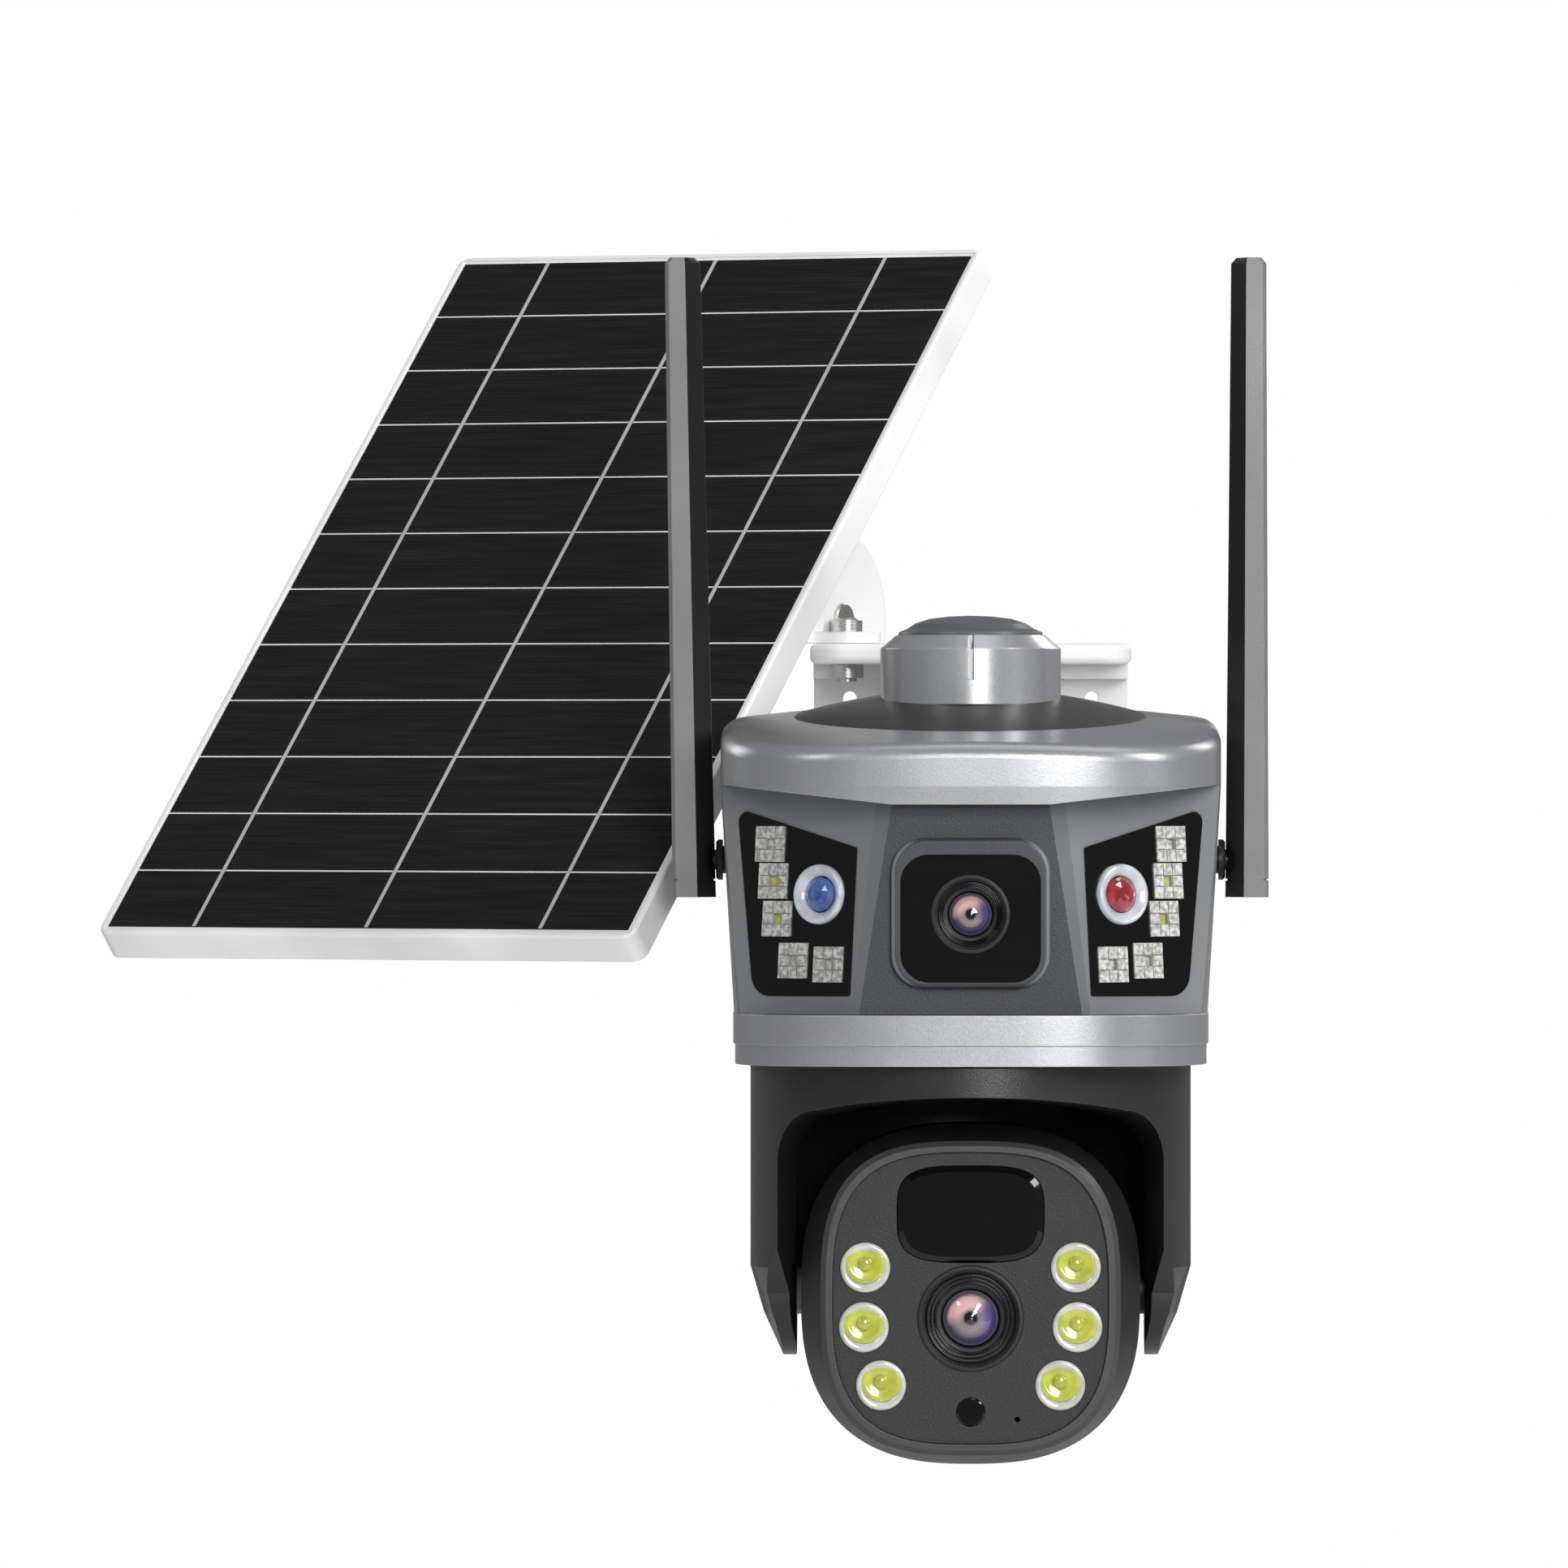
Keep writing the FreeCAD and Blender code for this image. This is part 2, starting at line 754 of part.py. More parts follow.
def make_housing_shell():
    wall = number(cell.housing_wall)
    low = number(cell.housing_low)
    outer = housing_block(0, low, 40).common(roof_ball(0))
    edges = [e for e in outer.Edges if e.BoundBox.ZMin > 8 and e.BoundBox.XLength > 20]
    outer = outer.makeFillet(4.2, edges)
    inner = housing_block(wall, low - 1, 40).common(roof_ball(wall))
    shelf = facet_block(number(cell.face_thick), low - 1, 30).common(under_visor(2.5))
    opening = facet_block(number(cell.face_thick), low - 1, 30).common(under_visor(0))
    shell = outer.cut(inner.cut(shelf)).cut(opening)
    back = number(PAN_Y) + 52
    boss = Part.makeBox(56, 9.4, 28, Vector(-24, back, -45))
    gland_x, gland_y, gland_z = GLAND_PLACE
    gland_boss = Part.makeBox(18, 27, 22, Vector(gland_x - 9, gland_y - 19, gland_z))
    shell = shell.fuse([boss, gland_boss])
    cover_y = number(PAN_Y) + 61.4
    tools = [
        Part.makeCylinder(number(cell.dome_rim_radius) + 0.1, 40, Vector(0, number(PAN_Y), 5)),
        Part.makeBox(30, 20, 14, Vector(-15, cover_y - 15, -38)),
        Part.makeCylinder(2.55, 20, Vector(27, cover_y - 15, -31), Vector(0, 1, 0)),
        Part.makeCylinder(6.1, 12, Vector(gland_x, gland_y, gland_z - 1)),
        Part.makeCylinder(3.5, 30, Vector(gland_x, gland_y, gland_z + 14), Vector(0, -1, 0)),
    ]
    for side in (-1, 1):
        tools.append(Part.makeCylinder(3.6, 12, Vector(side * 55, number(PAN_Y), number(cell.antenna_level)),
                                       Vector(side, 0, 0)))
    node("housing_shell", shape_object("housing_shell_solid", shell.cut(tools).removeSplitter()))


def make_top_cap():
    rim = cell.dome_rim_radius
    y = PAN_Y + cell.dome_shift
    low = 13
    outside = common(
        "cap_outside",
        cylinder("cap_rim", rim, 0, PAN_Y, low, 30),
        sphere("cap_ball", cell.dome_radius, 0, y, cell.dome_top - cell.dome_radius),
    )
    hollow = common(
        "cap_hollow",
        cylinder("cap_hollow_rim", rim - 2.6, 0, PAN_Y, low - 1, 31),
        sphere("cap_hollow_ball", cell.dome_radius - 3, 0, y, cell.dome_top - cell.dome_radius),
    )
    boss = cylinder("cap_boss", 27, 0, PAN_Y, 19, 20)
    hollow = cut("cap_hollow_ring", hollow, boss)
    seat = cylinder("cap_seat", cell.collar_radius + 0.1, 0, PAN_Y, cell.collar_low, 20)
    bore = cylinder("cap_bore", cell.spigot_radius + 0.1, 0, PAN_Y, 5, 30)
    node("top_cap", cut("top_cap_cut", outside, hollow, seat, bore))


def lamp_outline():
    """Corners of the right lamp window in the front view, each with its rounding."""
    return [((28.7, -11.6), 0.6), ((59.2, -1.75), 2.5), ((55.2, -49.4), 6), ((30.5, -49.2), 0.6)]


def lamp_tiles():
    """Front-view centres of the right wing's reflector tiles."""
    return [(50.6, -10.8), (49.9, -20.2), (48.9, -29.8), (44.8, -40.4), (35.8, -41.3)]


BEACON_PLACE = (38.1, -23.5)


def on_wing(shape, x, z):
    placed = shape.copy()
    placed.Placement = wing_placement(x, z)
    return placed


def lamp_prism(thick):
    """The right lamp window's solid: thick behind the wing's surface, with rounded corners."""
    frame = wing_placement(46, -27)
    inverse = frame.inverse()
    corners = []
    for (x, z), radius in lamp_outline():
        local = inverse.multVec(wing_point(x, z))
        corners.append((Vector(local.x, local.y, -thick), radius))
    body = prism([corner for corner, _ in corners], Vector(0, 0, thick + 0.4))
    for corner, radius in corners:
        upright = [e for e in body.Edges if runs_along("Z")(e)]
        at_corner = [
            e for e in upright
            if math.hypot(e.Vertexes[0].X - corner.x, e.Vertexes[0].Y - corner.y) < 0.1
        ]
        body = body.makeFillet(radius, at_corner)
    body.Placement = frame
    return body


def make_face_plate():
    thick = number(cell.face_thick)
    low = number(cell.housing_low)
    sheet = housing_block(0, low, 30).common(facet_block(thick, low - 1, 30)).common(under_visor(0))
    sheet = sheet.cut(facet_block(0, low - 1, 30))
    lamps = lamp_prism(6)
    opening = lamps.fuse(lamps.mirror(Vector(0, 0, 0), Vector(1, 0, 0)))
    sheet = shape_object("face_sheet", sheet.cut(opening))
    front = PAN_Y - cell.face_reach
    rim = plate(
        "window_rim", cell.rim_half_width, cell.rim_half_height, cell.rim_height + 1, 8.6,
        y=front + 1, turn=TURN["-Y"], middle=(0, cell.rim_level),
    )
    high = number(cell.rim_height) + 0.99
    round_body(rim, 1.2, lambda e: e.BoundBox.YMin > -999 and spans(e)[2] < 0.01 and e.BoundBox.ZMin > high)
    window = plate(
        "window_hole", cell.window_half_width, cell.window_half_height, 14, cell.window_corner,
        y=front + 7, turn=TURN["-Y"], middle=(0, cell.window_level),
    )
    node("face_plate", cut("face_plate_cut", fuse("face_plate_whole", sheet, rim), window))


def make_centre_window():
    front = PAN_Y - cell.face_reach - cell.rim_height
    node(
        "centre_window",
        plate(
            "centre_window_body", cell.window_half_width, cell.window_half_height, 1.8, cell.window_corner,
            holes=[(0, cell.lens_level, cell.lens_hole_radius)],
            y=front + 3, turn=TURN["-Y"], middle=(0, cell.window_level),
        ),
    )


def lens_profile(outer, glass):
    """A stepped lens hood about its own axis, opening towards local +Z."""
    return [
        (0, -9), (outer - 0.1, -9), (outer - 0.1, 0.6), (outer - 0.9, 0.9), (outer - 2.2, -0.6),
        (glass + 1.6, -1.2), (glass + 1.2, -2.4), (glass + 0.5, -2.6), (glass + 0.1, -3.2),
        (glass + 0.1, -7), (0, -7),
    ]


def glass_profile(radius, height):
    """A domed glass that stands on local Z = 0."""
    points = [(0, 0), (radius, 0), (radius, 1)]
    for step in range(1, 6):
        angle = math.radians(18 * step)
        points.append((radius * math.cos(angle), 1 + (height - 1) * math.sin(angle)))
    points[-1] = (0, height)
    return points


FIXED_GLASS_RADIUS = 5.7


def make_fixed_lens():
    front = PAN_Y - cell.face_reach - cell.rim_height + 1.2
    level = cell.lens_level
    turn = TURN["-Y"]
    hood = lens_profile(number(cell.lens_hole_radius), FIXED_GLASS_RADIUS)
    glass = glass_profile(FIXED_GLASS_RADIUS, 4.4)
    node("fixed_lens_barrel", turned("fixed_barrel", hood, 0, front, level, turn))
    node("fixed_lens_glass", turned("fixed_glass", glass, 0, front + 7, level, turn))


def make_lamps():
    right = lamp_prism(2.4)
    side = number(cell.tile_side)
    beacon = number(cell.beacon_radius)
    wide = side + 0.1
    apertures = [
        on_wing(Part.makeBox(wide, wide, 9, Vector(-wide / 2, -wide / 2, -5)), x, z)
        for x, z in lamp_tiles()
    ]
    apertures.append(on_wing(Part.makeCylinder(beacon + 0.05, 9, Vector(0, 0, -5)), *BEACON_PLACE))
    window = shape_object("lamp_window_solid", right.cut(apertures))
    node("lamp_window_right", window)
    node("lamp_window_left", mirrored("lamp_window_mirror", window))

    def square(half, level):
        return Part.makePolygon([Vector(sx * half, sy * half, level)
                                 for sx, sy in ((-1, -1), (1, -1), (1, 1), (-1, 1), (-1, -1))])

    tray = Part.makeBox(side, side, 2.6, Vector(-side / 2, -side / 2, -1.8))
    tray = tray.cut(loft([square(1.6, -1.2), square(side / 2 - 0.5, 0.9)]))
    chip = Part.makeBox(2.4, 2.4, 0.6, Vector(-1.2, -1.2, -1.2))
    rim_profile = [(5.3, -1.8), (beacon, -1.8), (beacon, 0.9), (7, 1.7), (6, 1.9), (5.3, 1.5)]
    rim = Part.Face(Part.makePolygon([Vector(x, 0, z) for x, z in rim_profile + rim_profile[:1]]))
    rim = rim.revolve(Vector(0, 0, 0), Vector(0, 0, 1), 360)
    trays = [on_wing(tray, x, z) for x, z in lamp_tiles()]
    chips = [on_wing(chip, x, z) for x, z in lamp_tiles()]
    board = on_wing(Part.makeBox(23, 36, 1.2, Vector(-12.4, -18, -5)), 46, -27)
    rims = [on_wing(rim, *BEACON_PLACE)]
    for label, solids in (("lamp_reflectors", trays), ("lamp_chips", chips), ("beacon_rims", rims)):
        both = [s for s in solids] + [s.mirror(Vector(0, 0, 0), Vector(1, 0, 0)) for s in solids]
        node(label, shape_object(label + "_solid", Part.makeCompound(both)))
    lens_board = Part.makeBox(30, 1.4, 26, Vector(-15, number(PAN_Y - cell.face_reach) + 9.4, -42))
    boards = [board, board.mirror(Vector(0, 0, 0), Vector(1, 0, 0)), lens_board]
    node("face_boards", shape_object("face_boards_solid", Part.makeCompound(boards)))
    dome = turned(
        "beacon_dome",
        [(0, -1.8), (5.25, -1.8), (5.25, 0.6), (4.6, 1.5), (3.2, 2.1), (1.6, 2.4), (0, 2.5)],
    )
    dome.Placement = wing_placement(*BEACON_PLACE)
    node("red_beacon", dome)
    node("blue_beacon", mirrored("blue_beacon_mirror", dome))


def make_base_ring():
    wall = number(cell.housing_wall)
    low, ledge, top = number(cell.ring_low), number(cell.ring_ledge), number(cell.housing_low)
    wide, deep = number(cell.ring_half_width), number(cell.ring_half_depth)

    def slab(inset, start, end):
        block = loft([power_curve(wide - inset, deep - inset, HOUSING_POWER, z) for z in (start, end)])
        block.translate(Vector(0, number(PAN_Y), 0))
        return block

    outer = slab(0, ledge, top).fuse(slab(0.5, low, ledge)).removeSplitter()
    ring = outer.cut(slab(wall, low + 3, top + 1))
    hub_hole = Part.makeCylinder(number(cell.hub_hole_radius), 10, Vector(0, number(PAN_Y), low - 1))
    node("base_ring", shape_object("base_ring_solid", ring.cut(hub_hole)))

    chassis = slab(wall + 0.2, top - 2.6, top - 0.1)
    tools = [
        Part.makeCylinder(4, 10, Vector(number(cell.pan_centres), number(PAN_Y), top - 6)),
        Part.makeCylinder(8, 10, Vector(0, number(PAN_Y), top - 6)),
    ]
    node("chassis_plate", shape_object("chassis_solid", chassis.cut(tools)))


def make_housing_insides():
    low = number(cell.housing_low)
    cells = []
    for i in range(4):
        x = (i - 1.5) * 19
        cells.append(turned(
            "battery_%d" % i,
            [(0, 0), (9.1, 0), (9.1, 64), (8.4, 65), (3, 65), (3, 66), (0, 66)], x, PAN_Y + 37, low + 0.5,
        ))
    node("battery_cells", group("battery_group", cells))
    board = plate("main_board_plate", 34, 24, 1.6, 2, y=PAN_Y + 24, turn=TURN["-Y"], middle=(0, -22))
    blocks = [
        box("board_chip", (-12, 6), (PAN_Y + 20.6, PAN_Y + 22.4), (-26, -10)),
        box("board_modem", (12, 30), (PAN_Y + 20, PAN_Y + 22.4), (-20, 0)),
        box("board_socket", (-30, -18), (PAN_Y + 17.4, PAN_Y + 22.4), (-44, -34)),
    ]
    node("main_board", fuse("main_board_whole", board, *blocks))
    cone = [(0, 0), (15, 0), (15, 2), (12, 3), (8, 7), (8, 9), (0, 9)]
    node("speaker", turned("speaker_body", cone, -30, PAN_Y - 4, low))
    motor = turned(
        "pan_motor_body",
        [(2.55, 0), (14, 0), (14, 17), (12.5, 18.5), (0, 18.5), (0, 6), (2.55, 6)],
        cell.pan_centres, PAN_Y, low,
    )
    node("pan_motor", motor)
    gland = turned(
        "gland_body",
        [(2.6, -11), (6, -11), (6, 0), (7.6, 0), (7.6, 4), (6.2, 4.6), (6.2, 8), (4.6, 10), (2.6, 10)],
        *GLAND_PLACE, TURN["-Z"],
    )
    node("cable_gland", gland)


def make_service_cover():
    front = PAN_Y + 61.4
    cover = plate("card_cover_plate", 19, 10.5, 2, 3, holes=[(-16, -31, 1.3), (16, -31, 1.3)],
                  y=front + 2, turn=TURN["-Y"], middle=(0, -31))
    plug = box("card_cover_plug", (-14.9, 14.9), (front - 4, front + 0.5), (-37.9, -24.1))
    node("card_cover", fuse("card_cover_whole", cover, plug))
    screws = [
        turned("cover_screw_%d" % (side > 0), [(0, 0), (2.3, 0), (2.3, 1), (1.6, 1.5), (0, 1.5)],
               side * 16, front + 2, -31, TURN["Y"])
        for side in (-1, 1)
    ]
    low = number(cell.ring_low)
    for i, (x, y) in enumerate(((-42, -36), (42, -36), (-42, 38), (42, 38))):
        screws.append(turned("ring_screw_%d" % i, [(0, 0), (2.6, 0), (2.6, 0.9), (2, 1.3), (0, 1.3)],
                             x, PAN_Y + y, low + 3, TURN["Z"]))
    node("housing_screws", group("housing_screw_group", screws))
    button = turned("reset_button_body", [(0, -6), (2.5, -6), (2.5, 0.9), (2.1, 1.3), (0, 1.4)],
                    27, front, -31, TURN["Y"])
    node("reset_button", button)


# ---- antennas --------------------------------------------------------------------------------


def antenna_section(inner, outer, level):
    """Section of the right blade: a flat outer side and bevelled inner edges."""
    bevel = (outer - inner) * 0.42
    half = 6.4
    nose = 2.2
    points = [
        (inner, -nose), (inner + bevel, -half), (outer - 0.9, -half), (outer, -half + 0.9),
        (outer, half - 0.9), (outer - 0.9, half), (inner + bevel, half), (inner, nose),
    ]
    wire = [Vector(x, number(PAN_Y) + y, level) for x, y in points]
    return Part.makePolygon(wire + wire[:1])


def antenna_blade(lean):
    """The right blade: a tapering bevelled bar with a seam above its foot and a bored side."""
    low, high = number(cell.antenna_low), number(cell.antenna_high)
    stub = number(cell.stub_end)
    bottom = (stub + 0.1, 76.4)
    top = (66.9 + lean, 75.8 + lean)

    def widths(level, inset=0.0):
        part = (level - low) / (high - low)
        near = bottom[0] + part * (top[0] - bottom[0]) + inset
        far = bottom[1] + part * (top[1] - bottom[1]) - inset
        return (near, far)

    def section(level, inset=0.0):
        inner, outer = widths(level, inset)
        return antenna_section(inner, outer, level)

    seam = low + 4.2
    foot = loft([section(low), section(seam)])
    groove = loft([section(seam, 0.45), section(seam + 0.5, 0.45)])
    shaft = loft([section(seam + 0.5), section(high - 1.5)])
    tip = loft([section(high - 1.5), section(high, 1.3)])
    blade = foot.fuse([groove, shaft, tip])
    pin = Part.makeCylinder(number(cell.antenna_pin_radius) + 0.05, 5,
                            Vector(stub - 1, number(PAN_Y), number(cell.antenna_level)), Vector(1, 0, 0))
    return blade.cut(pin)


def make_antennas():
    right = shape_object("antenna_right_solid", antenna_blade(0))
    node("antenna_right", right)
    left_source = shape_object("antenna_left_source", antenna_blade(2.6))
    node("antenna_left", mirrored("antenna_left_mirror", left_source))
    start = 56.5
    end = cell.stub_end - start
    pin = cell.antenna_pin_radius
    stub = turned(
        "antenna_stub",
        [(0, 0), (3.55, 0), (3.55, 7.1), (cell.stub_radius, 7.1), (cell.stub_radius, end - 0.6),
         (cell.stub_radius - 0.6, end), (pin, end), (pin, end + 3.6), (0, end + 3.6)],
        start, PAN_Y, cell.antenna_level, TURN["X"],
    )
    node("antenna_stub_right", stub)
    node("antenna_stub_left", mirrored("antenna_stub_mirror", stub))


# ---- pan drive and yoke ----------------------------------------------------------------------


def make_pan_drive():
    width = cell.gear_high - cell.gear_low
    teeth = 60
    pinion_teeth = 12
    node(
        "pan_gear",
        toothed_wheel("pan_gear_body", teeth, width, 0, 0, cell.hub_neck_radius, 0, PAN_Y, cell.gear_low,
                      TURN["Z"]),
    )
    half_tooth = Rotation(Vector(0, 0, 1), 180 + 180 / pinion_teeth)
    node(
        "pan_pinion",
        toothed_wheel("pan_pinion_body", pinion_teeth, width, 2.5, width + 11, 0, cell.pan_centres, PAN_Y,
                      cell.gear_low, half_tooth),
    )


def gap_outline(y, grow, rise):
    """The arched outline of the head's room at one depth: wider by grow and higher by rise."""
    half = number(cell.yoke_gap_half) + grow
    crown = number(cell.yoke_gap_top) + rise
    shoulder = number(cell.yoke_gap_shoulder) + rise
    corner = 13.0
    floor = -160.0
    slant = corner * (1 - math.sqrt(0.5))

    def at(x, z):
        return Vector(x, number(PAN_Y) + y, z)

    inner = half - corner
    bend = shoulder - corner
    parts = [
        Part.makeLine(at(-half, floor), at(-half, bend)),
        Part.Arc(at(-half, bend), at(-half + slant, shoulder - slant), at(-inner, shoulder)).toShape(),
        Part.Arc(at(-inner, shoulder), at(0, crown), at(inner, shoulder)).toShape(),
        Part.Arc(at(inner, shoulder), at(half - slant, shoulder - slant), at(half, bend)).toShape(),
        Part.makeLine(at(half, bend), at(half, floor)),
        Part.makeLine(at(half, floor), at(-half, floor)),
    ]
    return Part.Wire(parts)


def head_room():
    """The room between the yoke's arms: closed by a round wall behind, flaring towards the front."""
    shaft = loft([gap_outline(-60, 13.3, 1.8), gap_outline(-10, 0, 0), gap_outline(60, 0, 0)])
    radius, y, low = number(cell.yoke_back_inner), number(PAN_Y), -170
    corners = [(radius, y), (75, y), (75, y - 80), (-75, y - 80), (-75, y), (-radius, y)]
    points = [Vector(across, along, low) for across, along in corners]
    edges = [Part.Arc(points[-1], Vector(0, y + radius, low), points[0]).toShape()]
    edges += [Part.makeLine(start, end) for start, end in zip(points, points[1:])]
    plan = Part.Face(Part.Wire(edges)).extrude(Vector(0, 0, 120))
    return shaft.common(plan)


COVER_FLOOR = 51.2
OUTWARD = {-1: "-X", 1: "X"}


def make_yoke():
    top, taper = cell.yoke_top, cell.yoke_taper
    radius = cell.yoke_radius
    end = cell.tilt_level - cell.arm_end_radius
    drum = turned(
        "yoke_drum",
        [(0, top), (radius, top), (radius, taper), (radius - 3.5, taper - 12), (radius - 8.5, end), (0, end)],
        y=PAN_Y,
    )
    tilt, reach = number(cell.tilt_level), number(cell.arm_end_radius)
    back_low = number(cell.yoke_back_low)
    side = [
        (-57, number(top)), (57, number(top)), (57, back_low), (reach, back_low), (reach, tilt), (-reach, tilt),
        (-57, -84),
    ]
    cheeks = prism([Vector(-60, number(PAN_Y) + y, z) for y, z in side], Vector(120, 0, 0))
    ends = Part.makeCylinder(reach, 120, Vector(-60, number(PAN_Y), tilt), Vector(1, 0, 0))
    profile = shape_object("yoke_profile", cheeks.fuse(ends))
    drum = common("yoke_outer", drum, profile)
    gap = shape_object("yoke_gap", head_room())
    hollow = cut(
        "yoke_hollow",
        cylinder("yoke_hollow_disc", radius - 5, 0, PAN_Y, top - 5, 10),
        cylinder("yoke_hollow_hub", cell.hub_radius, 0, PAN_Y, top - 6, 12),
    )
    pins = cylinder("yoke_pin_bore", cell.pin_radius, -70, PAN_Y, cell.tilt_level, 140, "X")
    covers = [
        cylinder("cover_bore_%d" % (side > 0), 12, side * COVER_FLOOR, PAN_Y, cell.tilt_level, 8, OUTWARD[side])
        for side in (-1, 1)
    ]
    body = cut("yoke_body", drum, gap, hollow, pins, *covers)
    hub = cylinder("yoke_hub", cell.hub_radius, 0, PAN_Y, top - 5, cell.gear_low - top + 5)
    neck = cylinder("yoke_neck", cell.hub_neck_radius, 0, PAN_Y, top - 5, cell.gear_high - top + 6)
    bore = cylinder("yoke_cable_bore", 8, 0, PAN_Y, -90, 60)
    node("yoke", cut("yoke_bored", fuse("yoke_whole", body, hub, neck), bore))


def make_arm_covers():
    radius = cell.yoke_radius
    drum = cylinder("cover_drum", radius, 0, PAN_Y, -150, 60)
    for side, label in ((-1, "arm_cover_left"), (1, "arm_cover_right")):
        disc = cylinder(
            label + "_disc", 11.9, side * COVER_FLOOR, PAN_Y, cell.tilt_level, 8, OUTWARD[side]
        )
        taper = turned(
            label + "_taper",
            [(0, -90), (radius, -90), (radius, cell.yoke_taper), (radius - 3.5, cell.yoke_taper - 12),
             (radius - 8.5, cell.tilt_level - cell.arm_end_radius), (0, -145)],
            y=PAN_Y,
        )
        node(label, common(label + "_common", common(label + "_round", disc, drum), taper))


TILT_GEAR_X = -33


def make_trunnions():
    """The pins in the yoke's arms; the left one ends in the gear that the tilt drive climbs."""
    level = cell.tilt_level
    width = 4
    gear = toothed_wheel(
        "tilt_gear_body", 30, width, cell.pin_radius, 18.1, 0, TILT_GEAR_X, PAN_Y, level, TURN["-X"]
    )
    node("trunnion_gear", gear)
    pin = turned(
        "trunnion_pin_body",
        [(0, 0), (8, 0), (8, 2), (cell.pin_radius, 2), (cell.pin_radius, 13.2), (0, 13.2)],
        37.9, PAN_Y, level, TURN["X"],
    )
    node("trunnion_pin", pin)


# ---- tilting head ----------------------------------------------------------------------------


def head_block(inset):
    """The head's outer body about the tilt axis, drawn in by inset: a barrel behind, a straight front."""
    wide = number(cell.head_half_width) - inset
    high = number(cell.head_half_height) - inset
    straight, front = number(cell.head_straight), number(cell.head_front)
    outline = power_curve(wide, high, HEAD_POWER, 0)
    barrel = Part.Face(outline).common(Part.makePlane(200, 100, Vector(-100, 0, 0)))
    barrel = barrel.revolve(Vector(0, 0, 0), Vector(1, 0, 0), 360)
    drop = number(cell.bezel_drop)
    bezel = power_curve(number(cell.bezel_half_width) - inset, number(cell.bezel_half_height) - inset - 0.4,
                        BEZEL_POWER, front)
    bezel.translate(Vector(0, -drop, 0))
    nose = loft([power_curve(wide, high, HEAD_POWER, 0), power_curve(wide, high, HEAD_POWER, straight)])
    tip = loft([power_curve(wide, high, HEAD_POWER, straight), bezel])
    half_space = Part.makeBox(200, 200, 100, Vector(-100, -100, -100))
    return barrel.common(half_space).fuse([nose, tip])


def head_placement():
    """Local Z is the way the head looks, local Y is up."""
    return Placement(Vector(0, number(PAN_Y), number(cell.tilt_level)), TURN["-Y"])


def make_head_shell():
    wall = number(cell.head_wall)
    front = number(cell.head_front)
    outer = head_block(0)
    inner = head_block(wall)
    bore = number(cell.pin_radius) + 0.06
    tools = [inner, Part.makeCylinder(bore, 120, Vector(-60, 0, 0), Vector(1, 0, 0))]
    shell = outer.cut(tools)
    drop = number(cell.bezel_drop)
    seat = power_curve(number(cell.face_half_width), number(cell.face_half_height), BEZEL_POWER, front - 3)
    seat.translate(Vector(0, -drop, 0))
    shell = shell.cut(Part.Face(seat).extrude(Vector(0, 0, 10)))
    node("head_shell", shape_object("head_shell_solid", shell, head_placement()))


def make_head_bezel():
    front, lip = number(cell.head_front), number(cell.bezel_lip)
    drop = number(cell.bezel_drop)
    wide, high = number(cell.bezel_half_width), number(cell.bezel_half_height)
    foot = power_curve(wide, high, BEZEL_POWER, front)
    edge = power_curve(wide, high, BEZEL_POWER, front + lip - 1.2)
    rim = power_curve(wide - 1.3, high - 1.3, BEZEL_POWER, front + lip)
    ring = loft([foot, edge]).fuse(loft([edge, rim]))
    hole = power_curve(number(cell.face_half_width), number(cell.face_half_height), BEZEL_POWER, 0)
    ring = ring.cut(Part.Face(hole).extrude(Vector(0, 0, 80)))
    lowered = head_placement().multiply(Placement(Vector(0, -drop, 0), Rotation()))
    node("head_bezel", shape_object("head_bezel_solid", ring, lowered))


SPOT_PLACES = [(side * x, z) for side in (-1, 1) for x, z in ((26.8, 7.1), (27.2, -8.1), (22.8, -22.9))]
HEAD_LENS = (0, -5.9)
HEAD_GLASS_RADIUS = 7.4
MOTION_WINDOW = (0, 20.65)
LIGHT_SENSOR = (0, -29.7)
MIC_HOLE = (11.9, -31.6)


def head_feature_tools(depth):
    """Solids that stand where the head's windows and lamps go through its face."""
    tools = [Part.makeCylinder(6.5, depth, Vector(x, y, 0)) for x, y in SPOT_PLACES]
    tools.append(Part.makeCylinder(13.5, depth, Vector(HEAD_LENS[0], HEAD_LENS[1], 0)))
    tools.append(Part.makeCylinder(3.7, depth, Vector(LIGHT_SENSOR[0], LIGHT_SENSOR[1], 0)))
    tools.append(Part.makeCylinder(0.7, depth, Vector(MIC_HOLE[0], MIC_HOLE[1], 0)))
    tools.append(motion_block(18.8, 12.4, 0, depth))
    return tools


def motion_block(half_x, half_y, low, high):
    """The motion sensor window's rounded outline between two depths."""
    outline = motion_block_wire(half_x, half_y, low)
    return Part.Face(outline).extrude(Vector(0, 0, high - low))


def make_head_face():
    front = number(cell.head_front)
    drop = number(cell.bezel_drop)
    wide, high = number(cell.face_half_width) - 0.1, number(cell.face_half_height) - 0.1
    outline = power_curve(wide, high, BEZEL_POWER, front - 3)
    outline.translate(Vector(0, -drop, 0))
    face = Part.Face(outline).extrude(Vector(0, 0, 4.4))
    face = face.cut(head_feature_tools(80))
    node("head_face", shape_object("head_face_solid", face, head_placement()))


